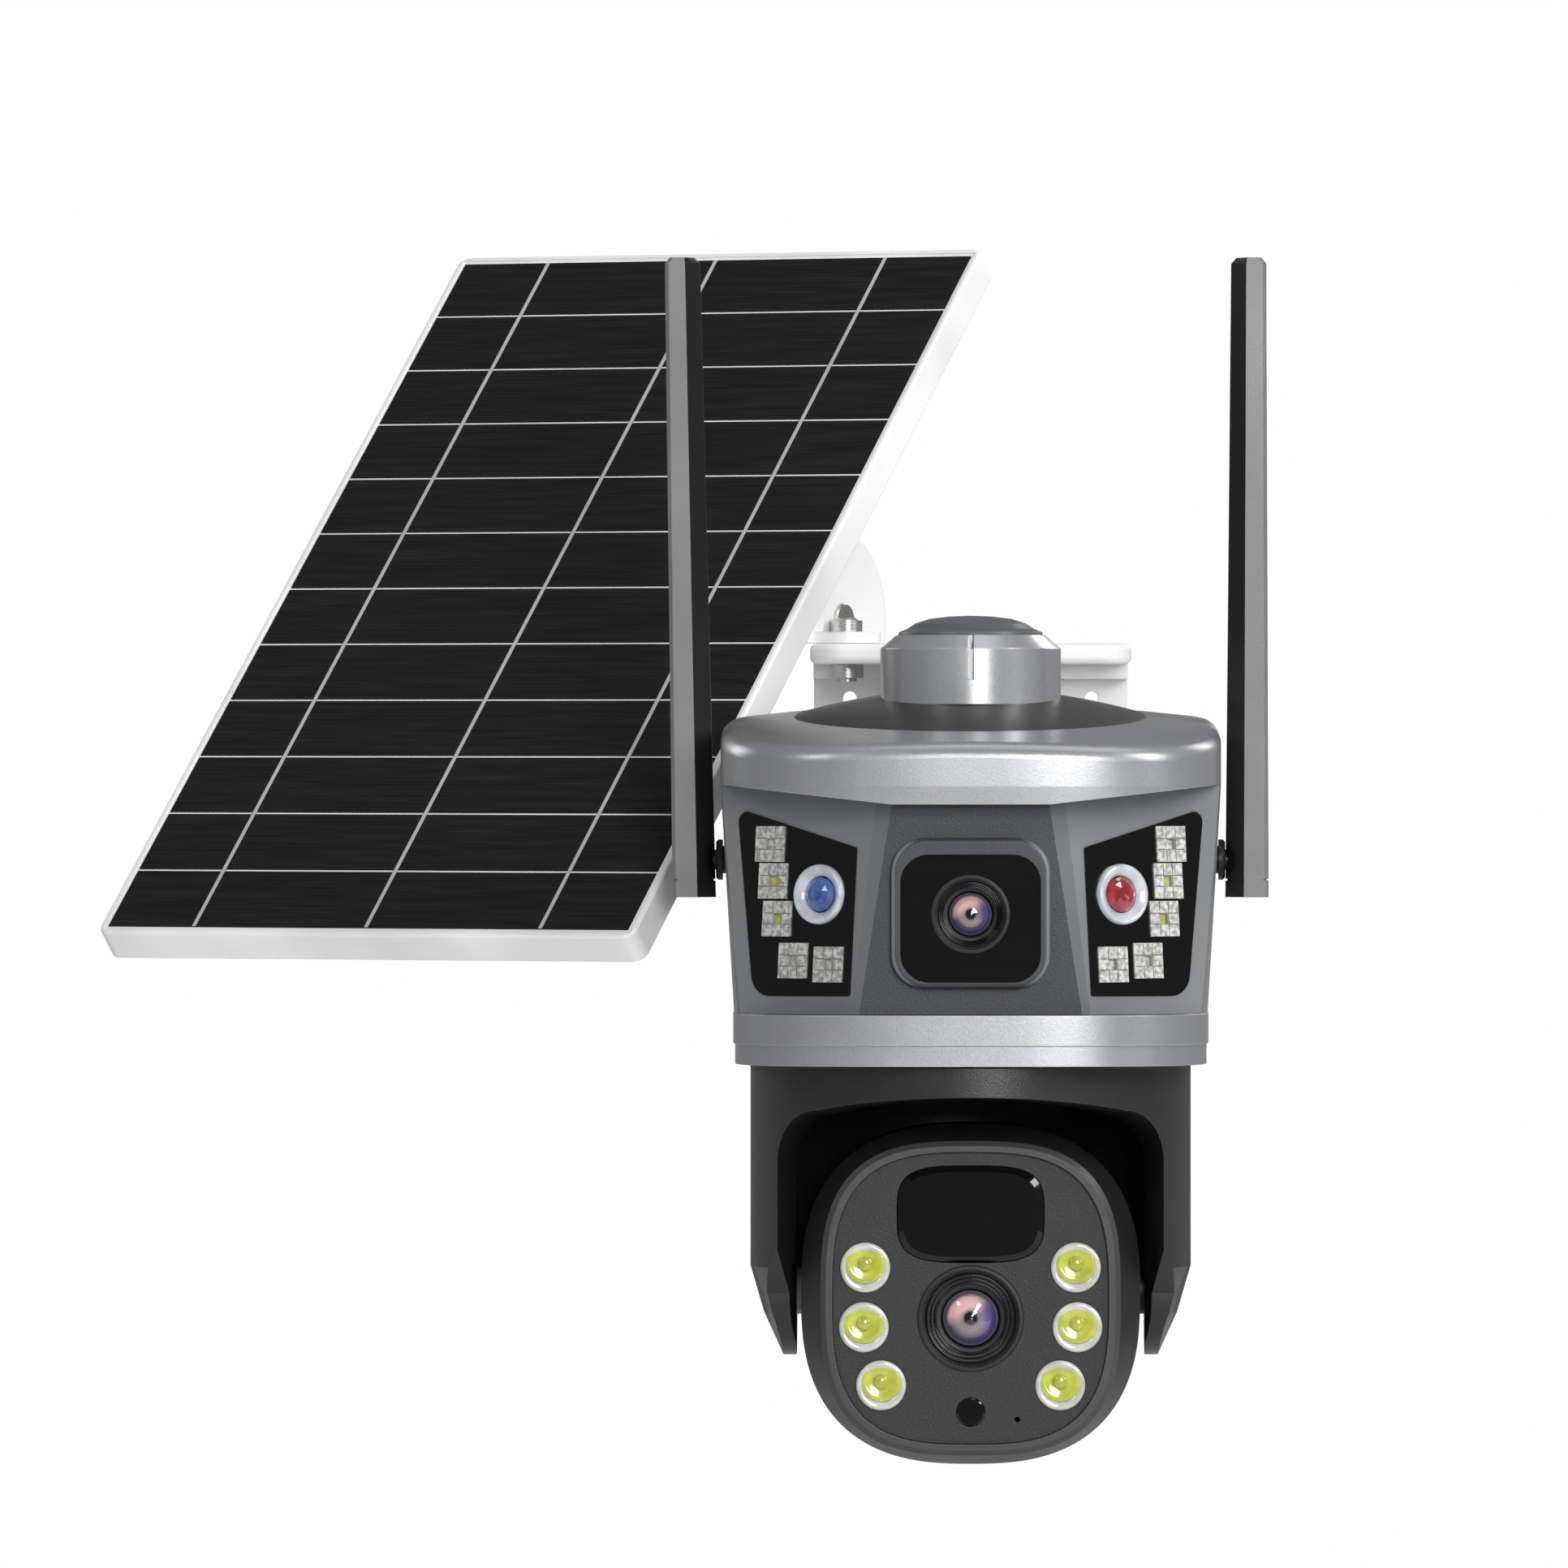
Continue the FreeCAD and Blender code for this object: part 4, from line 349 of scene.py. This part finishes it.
def face_plastic(name):
    """Satin plastic of the faceted face: its wings, turned outward, are painted paler than its middle as painted
    light.
    """
    shader = Shader(name, (0.045, 0.047, 0.05), 0.36, specular=0.35)
    split = shader.add("ShaderNodeSeparateXYZ")
    shader.link(shader.add("ShaderNodeTexCoord").outputs["Normal"], split.inputs[0])
    # Painted light: faces turned to the left or right get the paler wing colour.
    lit_wing_share = shader.grey(shader.math("ABSOLUTE", split.outputs["X"]), 0.12, 0.4, 0.0, 1.0)
    tone = shader.noise(22, 2)
    middle = shader.ramp(tone, 0.3, 0.7, (0.036, 0.038, 0.04, 1), (0.044, 0.046, 0.049, 1))
    painted_lit_wing = shader.ramp(tone, 0.3, 0.7, (0.17, 0.176, 0.182, 1), (0.2, 0.206, 0.212, 1))
    shader.feed("Base Color", shader.mix(lit_wing_share, middle, painted_lit_wing))
    shader.relief(shader.noise(2600, 2), 0.25, softened=0.0003)
    return shader.material


MATERIALS = {
    "white_paint": powder_coat("white_powder_coat"),
    "white_plastic": moulded("white_plastic", (0.9, 0.9, 0.9), 0.42, grain=0.12, wear_and_highlight=0.0),
    "silver_coat": silver_paint("silver_casting", 0.44, 0.3),
    "silver_plastic": silver_paint("silver_paint", 0.36, 0.34),
    "grey_plastic": moulded("grey_plastic", (0.03, 0.031, 0.032), 0.4, specular=0.35),
    "black_plastic": moulded("black_plastic", (0.006, 0.006, 0.0065), 0.38, wear_and_highlight=0.2, specular=0.3),
    "gloss_black": polished("gloss_black", (0.003, 0.003, 0.0035)),
    "matte_black": moulded("matte_black", (0.012, 0.012, 0.013), 0.5, grain=0.4),
    "reflector": mirror_coat("mirror_coat"),
    "lamp_chip": phosphor("phosphor"),
    "clear_cup": tinted("clear_cup", (0.62, 0.63, 0.6), (0.48, 0.5, 0.45), 0.1),
    "beacon_rim": tinted("beacon_rim", (0.62, 0.65, 0.7), (0.46, 0.5, 0.58), 0.2),
    "blue_lens": tinted("blue_lens", (0.05, 0.16, 0.42), (0.02, 0.08, 0.25)),
    "red_lens": tinted("red_lens", (0.42, 0.03, 0.04), (0.22, 0.012, 0.018)),
    "circuit_board": moulded("circuit_board", (0.01, 0.12, 0.04), 0.35),
    "battery_wrap": moulded("battery_wrap", (0.03, 0.1, 0.4), 0.3),
    "zinc_steel": plated("zinc_steel"),
    "motor_steel": plated("motor_steel", 0.5, 0.35),
    "gear_plastic": moulded("gear_plastic", (0.75, 0.72, 0.62), 0.4),
    "solar_silicon": solar_cell("solar_silicon"),
    "ribbon_metal": moulded("ribbon_metal", (0.5, 0.5, 0.5), 0.45, grain=0.05, wear_and_highlight=0.0),
    "speaker_black": moulded("speaker_black", (0.01, 0.01, 0.01), 0.7),
    "chassis": moulded("chassis_plastic", (0.03, 0.03, 0.03), 0.5),
}
SPECIAL = {
    "face_plate": face_plastic("face_plastic"),
    "neck_cap": moulded("neck_plastic", (0.1, 0.103, 0.107), 0.32, specular=0.35),
    "head_face": moulded("head_face_plastic", (0.014, 0.014, 0.0148), 0.42, grain=0.35, specular=0.4),
    "yoke": moulded("yoke_plastic", (0.02, 0.02, 0.021), 0.34, wear_and_highlight=0.2, specular=0.45),
    "head_shell": moulded("head_shell_plastic", (0.012, 0.012, 0.0125), 0.38, specular=0.35),
    "head_bezel": moulded("bezel_satin", (0.05, 0.051, 0.053), 0.3, grain=0.1, specular=0.4),
    "antenna_left": antenna_painted_shade("antenna_painted_shade_left", 1.0),
    "antenna_right": antenna_painted_shade("antenna_painted_shade_right", -1.0),
}


def glass_disc(node):
    """The centre and radius of a round glass that faces forward."""
    low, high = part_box(node)
    return ((low + high) / 2, (high.x - low.x) / 2)


def paint_frame():
    for entry in frame["record"]["subparts"]:
        node = frame["nodes"][entry["node"]]
        if entry["node"] in ("fixed_lens_glass", "head_lens_glass"):
            centre, radius = glass_disc(entry["node"])
            material = lens_painted_reflections(entry["node"] + "_painted_reflections", centre, radius)
        else:
            material = SPECIAL.get(entry["node"]) or MATERIALS[entry["material_slot"]]
        node.data.materials.clear()
        node.data.materials.append(material)


# ---- detailed pieces -------------------------------------------------------------------------


def islands(node):
    """The vertices of each separate solid in a CAD node, as arrays."""
    mesh = bmesh.new()
    mesh.from_mesh(frame["nodes"][node].data)
    bmesh.ops.remove_doubles(mesh, verts=mesh.verts, dist=1e-6)
    waiting = set(mesh.verts)
    found = []
    while waiting:
        front = [waiting.pop()]
        group = list(front)
        while front:
            vertex = front.pop()
            for edge in vertex.link_edges:
                other = edge.other_vert(vertex)
                if other in waiting:
                    waiting.remove(other)
                    front.append(other)
                    group.append(other)
        found.append(np.array([v.co for v in group]))
    mesh.free()
    found.sort(key=lambda points: tuple(points.mean(0).round(4)))
    return found


def facing_frame(points):
    """A matrix at the middle of a flat piece: local Z out of its front, local X level."""
    middle = (points.min(0) + points.max(0)) / 2
    spread = np.linalg.svd(points - points.mean(0), full_matrices=False)[2]
    out = Vector(spread[2])
    if out.y > 0:
        out = -out
    across = UP.cross(out).normalized()
    turn = Matrix((across, out.cross(across), out)).transposed().to_4x4()
    return Matrix.Translation(Vector(middle)) @ turn


def flat_pieces(node):
    """For each separate solid of a node: its facing frame, half width, and lowest and highest level."""
    for points in islands(node):
        place = facing_frame(points)
        local = np.array([place.inverted() @ Vector(p) for p in points])
        yield place, local[:, 0].max(), local[:, 2].min(), local[:, 2].max()


def add_piece(name, mesh, body, material, smooth=True):
    """Turns a built mesh into a piece that rides on a body."""
    data = bpy.data.meshes.new(name)
    bmesh.ops.recalc_face_normals(mesh, faces=mesh.faces)
    mesh.to_mesh(data)
    mesh.free()
    for polygon in data.polygons:
        polygon.use_smooth = smooth
    data.materials.append(material)
    piece = bpy.data.objects.new(name, data)
    bpy.context.scene.collection.objects.link(piece)
    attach(piece, body)
    return piece


def revolve(mesh, profile, place, segments=48):
    """Adds a closed turned solid from (radius, height) points about the place's local Z."""
    rings = []
    for radius, height in profile:
        if radius < 1e-9:
            rings.append([mesh.verts.new(place @ Vector((0, 0, height)))])
            continue
        ring = []
        for step in range(segments):
            angle = 2 * math.pi * step / segments
            point = Vector((radius * math.cos(angle), radius * math.sin(angle), height))
            ring.append(mesh.verts.new(place @ point))
        rings.append(ring)
    for low, high in zip(rings, rings[1:]):
        for i in range(segments):
            j = (i + 1) % segments
            if len(low) == 1:
                mesh.faces.new((low[0], high[i], high[j]))
            elif len(high) == 1:
                mesh.faces.new((low[i], low[j], high[0]))
            else:
                mesh.faces.new((low[i], low[j], high[j], high[i]))


def tile_height(u, v):
    """How deep a reflector tile lies under its rim: nine shallow pads, grooves, a sunk middle."""
    seat, groove, pad = 0.0013, 0.0005, 0.00012
    away = max(abs(u), abs(v))
    if away > 0.97:
        return 0.0
    if away < 0.3:
        return seat
    if any(0.3 <= abs(part) <= 0.37 for part in (u, v)):
        return groove
    return pad


def make_reflectors():
    """Square pale reflectors: three by three pads with grooves; the middle rows' chips glow yellow."""
    mesh = bmesh.new()
    lines = [-1, -0.95, -0.34, -0.28, 0.28, 0.34, 0.95, 1]
    bottom_edge, top_edge = (corner.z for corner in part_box("lamp_reflectors"))
    chip_levels = [bottom_edge + share * (top_edge - bottom_edge) for share in (0.25, 0.75)]
    # Material 1 paints shade into the grooves between the pads.
    pale, dark, glow = 0, 1, 2
    for place, half, low, high in flat_pieces("lamp_reflectors"):
        seat = glow if chip_levels[0] < place.translation.z < chip_levels[1] else pale
        for i, (left, right) in enumerate(zip(lines, lines[1:])):
            for j, (bottom, top) in enumerate(zip(lines, lines[1:])):
                depth = tile_height((left + right) / 2, (bottom + top) / 2)
                groove = (i in (2, 4) or j in (2, 4)) and 1 <= i <= 5 and 1 <= j <= 5
                look = seat if (i, j) == (3, 3) else dark if groove else pale
                add_block(mesh, place, (left * half, right * half), (bottom * half, top * half),
                          (low, high - depth), look)
    piece = add_piece("reflector_tiles", mesh, "camera_base", MATERIALS["reflector"],
                      smooth=False)
    # Groove material: dark grey that stands in for shade in the grooves.
    piece.data.materials.append(moulded("reflector_groove_painted_shade", (0.3, 0.3, 0.28), 0.5, grain=0.1, wear_and_highlight=0.0))
    piece.data.materials.append(tinted("reflector_glow", (0.6, 0.62, 0.12), (0.36, 0.4, 0.1), 0.2))
    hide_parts("lamp_reflectors")


def add_block(mesh, place, xs, ys, zs, material_index=0):
    """Adds a closed box between low and high local values."""
    corners = [mesh.verts.new(place @ Vector((x, y, z))) for z in zs for y in ys for x in xs]
    for face in ((0, 1, 3, 2), (4, 5, 7, 6), (0, 1, 5, 4), (2, 3, 7, 6), (0, 2, 6, 4), (1, 3, 7, 5)):
        mesh.faces.new([corners[i] for i in face]).material_index = material_index


def make_beacon_rims():
    """Milky bowls round the beacons, lower towards the lens."""
    mesh = bmesh.new()
    for place, radius, low, high in flat_pieces("beacon_rims"):
        rise = high - low
        shares = [(0.6, 0.05), (0.995, 0.05), (0.995, 0.7), (0.96, 0.93), (0.9, 1.0), (0.82, 0.95),
                  (0.7, 0.72), (0.62, 0.62), (0.6, 0.5), (0.6, 0.05)]
        revolve(mesh, [(radius * share, low + rise * part) for share, part in shares], place, 56)
    piece = add_piece("beacon_bowls", mesh, "camera_base", MATERIALS["beacon_rim"])
    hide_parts("beacon_rims")


def make_beacon(node, slot):
    """A domed beacon lens with pressed facets."""
    place, radius, low, high = next(flat_pieces(node))
    mesh = bmesh.new()
    sectors = 12
    rings = []
    for ring, (share, rise) in enumerate(((0.86, 0.5), (0.62, 0.74), (0.34, 0.86))):
        line = []
        for step in range(sectors):
            angle = 2 * math.pi * (step + 0.5 * (ring % 2)) / sectors
            reach, lift = radius * share, low + (high - low) * rise
            point = Vector((reach * math.cos(angle), reach * math.sin(angle), lift))
            line.append(mesh.verts.new(place @ point))
        rings.append(line)
    tip = mesh.verts.new(place @ Vector((0, 0, low + (high - low) * 0.82)))
    foot = []
    for vertex in rings[0]:
        spot = place.inverted() @ vertex.co
        foot.append(mesh.verts.new(place @ Vector((spot.x, spot.y, low))))
    for outer, inner, shifted in ((rings[0], rings[1], 0), (rings[1], rings[2], 1)):
        for i in range(sectors):
            j = (i + 1) % sectors
            if shifted:
                mesh.faces.new((outer[i], inner[i], inner[j]))
                mesh.faces.new((outer[i], inner[j], outer[j]))
            else:
                mesh.faces.new((outer[i], outer[j], inner[i]))
                mesh.faces.new((outer[j], inner[j], inner[i]))
    for i in range(sectors):
        j = (i + 1) % sectors
        mesh.faces.new((rings[2][i], rings[2][j], tip))
        mesh.faces.new((foot[i], foot[j], rings[0][j], rings[0][i]))
    mesh.faces.new(foot)
    piece = add_piece(node + "_lens", mesh, "camera_base", MATERIALS[slot], smooth=False)
    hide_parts(node)


def make_spot_lamps():
    """Clear cups with an off-centre yellow bowl and a raised chip."""
    seat = 0.0016
    chip_rise = 0.0009
    cups = bmesh.new()
    bowls = bmesh.new()
    for place, radius, low, high in flat_pieces("spot_cups"):
        revolve(cups, [(0, low), (radius, low), (radius, high - 0.0007), (radius * 0.95, high - 0.0002),
                       (radius * 0.86, high), (radius * 0.7, high - 0.0006), (radius * 0.5, high - 0.0012),
                       (0, high - 0.0014)], place)
        bowl = place @ Matrix.Translation((0, radius * 0.16, high - seat))
        wide = radius * 0.82
        revolve(bowls, [(0, 0), (wide, 0), (wide, 0.0011), (wide * 0.93, 0.0015), (wide * 0.7, 0.00105),
                        (wide * 0.42, 0.0008), (0, 0.0008)], bowl)
    piece = add_piece("clear_spot_cups", cups, "tilt_head", MATERIALS["clear_cup"])
    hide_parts("spot_cups")
    yellow = tinted("yellow_bowl", (0.56, 0.58, 0.07), (0.42, 0.45, 0.04), 0.2)
    add_piece("yellow_spot_bowls", bowls, "tilt_head", yellow)
    chips = bmesh.new()
    for place, radius, low, high in flat_pieces("spot_leds"):
        lifted = place @ Matrix.Translation((0, chip_rise, seat))
        profile = [(0, low), (radius, low), (radius, high * 0.4), (radius * 0.72, high * 0.8), (0, high)]
        revolve(chips, profile, lifted)
    chip_yellow = tinted("chip_yellow", (0.5, 0.47, 0.06), (0.36, 0.36, 0.03), 0.15)
    piece = add_piece("spot_chips", chips, "tilt_head", chip_yellow)
    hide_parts("spot_leds")


def make_baffles(name, glass, barrel, body):
    """Fine turned steps inside a lens hood."""
    glass_low, glass_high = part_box(glass)
    radius = (glass_high.x - glass_low.x) / 2
    barrel_low, barrel_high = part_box(barrel)
    reach = (barrel_high.x - barrel_low.x) / 2
    middle = (barrel_low + barrel_high) / 2
    front = Matrix.Translation((middle.x, barrel_low.y, middle.z))
    place = front @ Matrix.Rotation(math.radians(90), 4, "X")
    gap, wall, wide, thick = 0.0009, 0.0026, 0.0005, 0.0006
    deepest, stride = -0.0023, 0.0004
    mesh = bmesh.new()
    for step in range(3):
        outer = radius + gap + (reach - wall - radius) * (step + 1) / 3.4 + 0.0001
        inner = outer - wide
        depth = deepest + stride * step
        revolve(mesh, [(inner, depth), (outer, depth), (outer, depth + thick), (inner, depth + thick),
                       (inner, depth)], place, 64)
    add_piece(name, mesh, body, MATERIALS["gloss_black"])


def make_details():
    make_reflectors()
    make_beacon_rims()
    make_beacon("blue_beacon", "blue_lens")
    make_beacon("red_beacon", "red_lens")
    make_spot_lamps()
    make_baffles("fixed_lens_baffles", "fixed_lens_glass", "fixed_lens_barrel", "camera_base")
    make_baffles("head_lens_baffles", "head_lens_glass", "head_lens_barrel", "tilt_head")


# ---- stage, light and camera -----------------------------------------------------------------


def stage_material():
    shader = Shader("pale_paper", (0.86, 0.86, 0.86), 0.9, specular=0.1)
    cloud = shader.noise(3, 2)
    shader.feed("Base Color", shader.ramp(cloud, 0.3, 0.7, (0.85, 0.85, 0.85, 1), (0.87, 0.87, 0.87, 1)))
    return shader.material


def make_stage():
    """A pale round floor under the object, small enough to stay out of the level view."""
    drop, radius = 0.12, 1.1
    level = Vector((0, 0, cad_bounds[0][2] - drop))
    mesh = bmesh.new()
    bmesh.ops.create_circle(mesh, cap_ends=True, segments=96, radius=radius,
                            matrix=Matrix.Translation(STAGE_CENTRE + level))
    data = bpy.data.meshes.new("pale_floor")
    mesh.to_mesh(data)
    mesh.free()
    data.materials.append(stage_material())
    floor = bpy.data.objects.new("pale_floor", data)
    bpy.context.scene.collection.objects.link(floor)


def make_world():
    """A dim even room light with plain white behind the object."""
    world = bpy.data.worlds.new("studio")
    world.use_nodes = True
    nodes, links = world.node_tree.nodes, world.node_tree.links
    room = nodes["Background"]
    room.inputs["Color"].default_value = (0.97, 0.98, 1, 1)
    room.inputs["Strength"].default_value = 0.22
    white = nodes.new("ShaderNodeBackground")
    white.inputs["Color"].default_value = (1, 1, 1, 1)
    seen = nodes.new("ShaderNodeLightPath").outputs["Is Camera Ray"]
    blend = nodes.new("ShaderNodeMixShader")
    links.new(seen, blend.inputs[0])
    links.new(room.outputs[0], blend.inputs[1])
    links.new(white.outputs[0], blend.inputs[2])
    links.new(blend.outputs[0], nodes["World Output"].inputs["Surface"])
    bpy.context.scene.world = world


def add_softbox(name, place, size, power):
    """A soft rectangular light that faces the camera body and isn't itself in the picture."""
    light = bpy.data.lights.new(name, "AREA")
    light.shape = "RECTANGLE"
    light.size, light.size_y = size
    light.energy = power
    lamp = bpy.data.objects.new(name, light)
    lamp.location = place
    lamp.rotation_euler = (STAGE_CENTRE - Vector(place)).to_track_quat("-Z", "Y").to_euler()
    lamp.visible_camera = False
    bpy.context.scene.collection.objects.link(lamp)


def make_lights():
    add_softbox("front_key", (0.5, -2.5, 0.5), (0.7, 0.9), 30)
    add_softbox("key_right", (1.5, -1.0, 0.9), (0.4, 1.0), 18)
    add_softbox("fill_left", (-1.2, -1.6, 1.0), (0.4, 0.8), 6)
    add_softbox("top", (0.3, -0.3, 1.6), (1.0, 1.0), 4)
    add_softbox("back_right", (1.0, 1.5, 0.9), (0.8, 0.8), 9)
    add_softbox("back_left", (-1.4, 1.2, 0.6), (0.8, 0.8), 6)


def make_camera():
    """Straight ahead of the pan axis, a little above the housing's middle, framed by a small shift."""
    pan = next(joint for joint in frame["joints"] if joint["name"] == "pan")
    distance = 4.0
    field = 0.4025
    eye_level = 0.0181
    view_middle = (-0.0479, 0.0044)
    data = bpy.data.cameras.new("camera")
    data.sensor_width = 36
    data.lens = 36 * distance / field
    data.shift_x = view_middle[0] / field
    data.shift_y = (view_middle[1] - eye_level) / field
    camera = bpy.data.objects.new("camera", data)
    camera.location = (0, pan["pos_m"][1] - distance, eye_level)
    camera.rotation_euler = (math.radians(90), 0, 0)
    bpy.context.scene.collection.objects.link(camera)
    bpy.context.scene.camera = camera


bpy.context.scene.view_settings.view_transform = "Standard"
make_camera()
make_stage()
make_world()
make_lights()
paint_frame()
make_details()
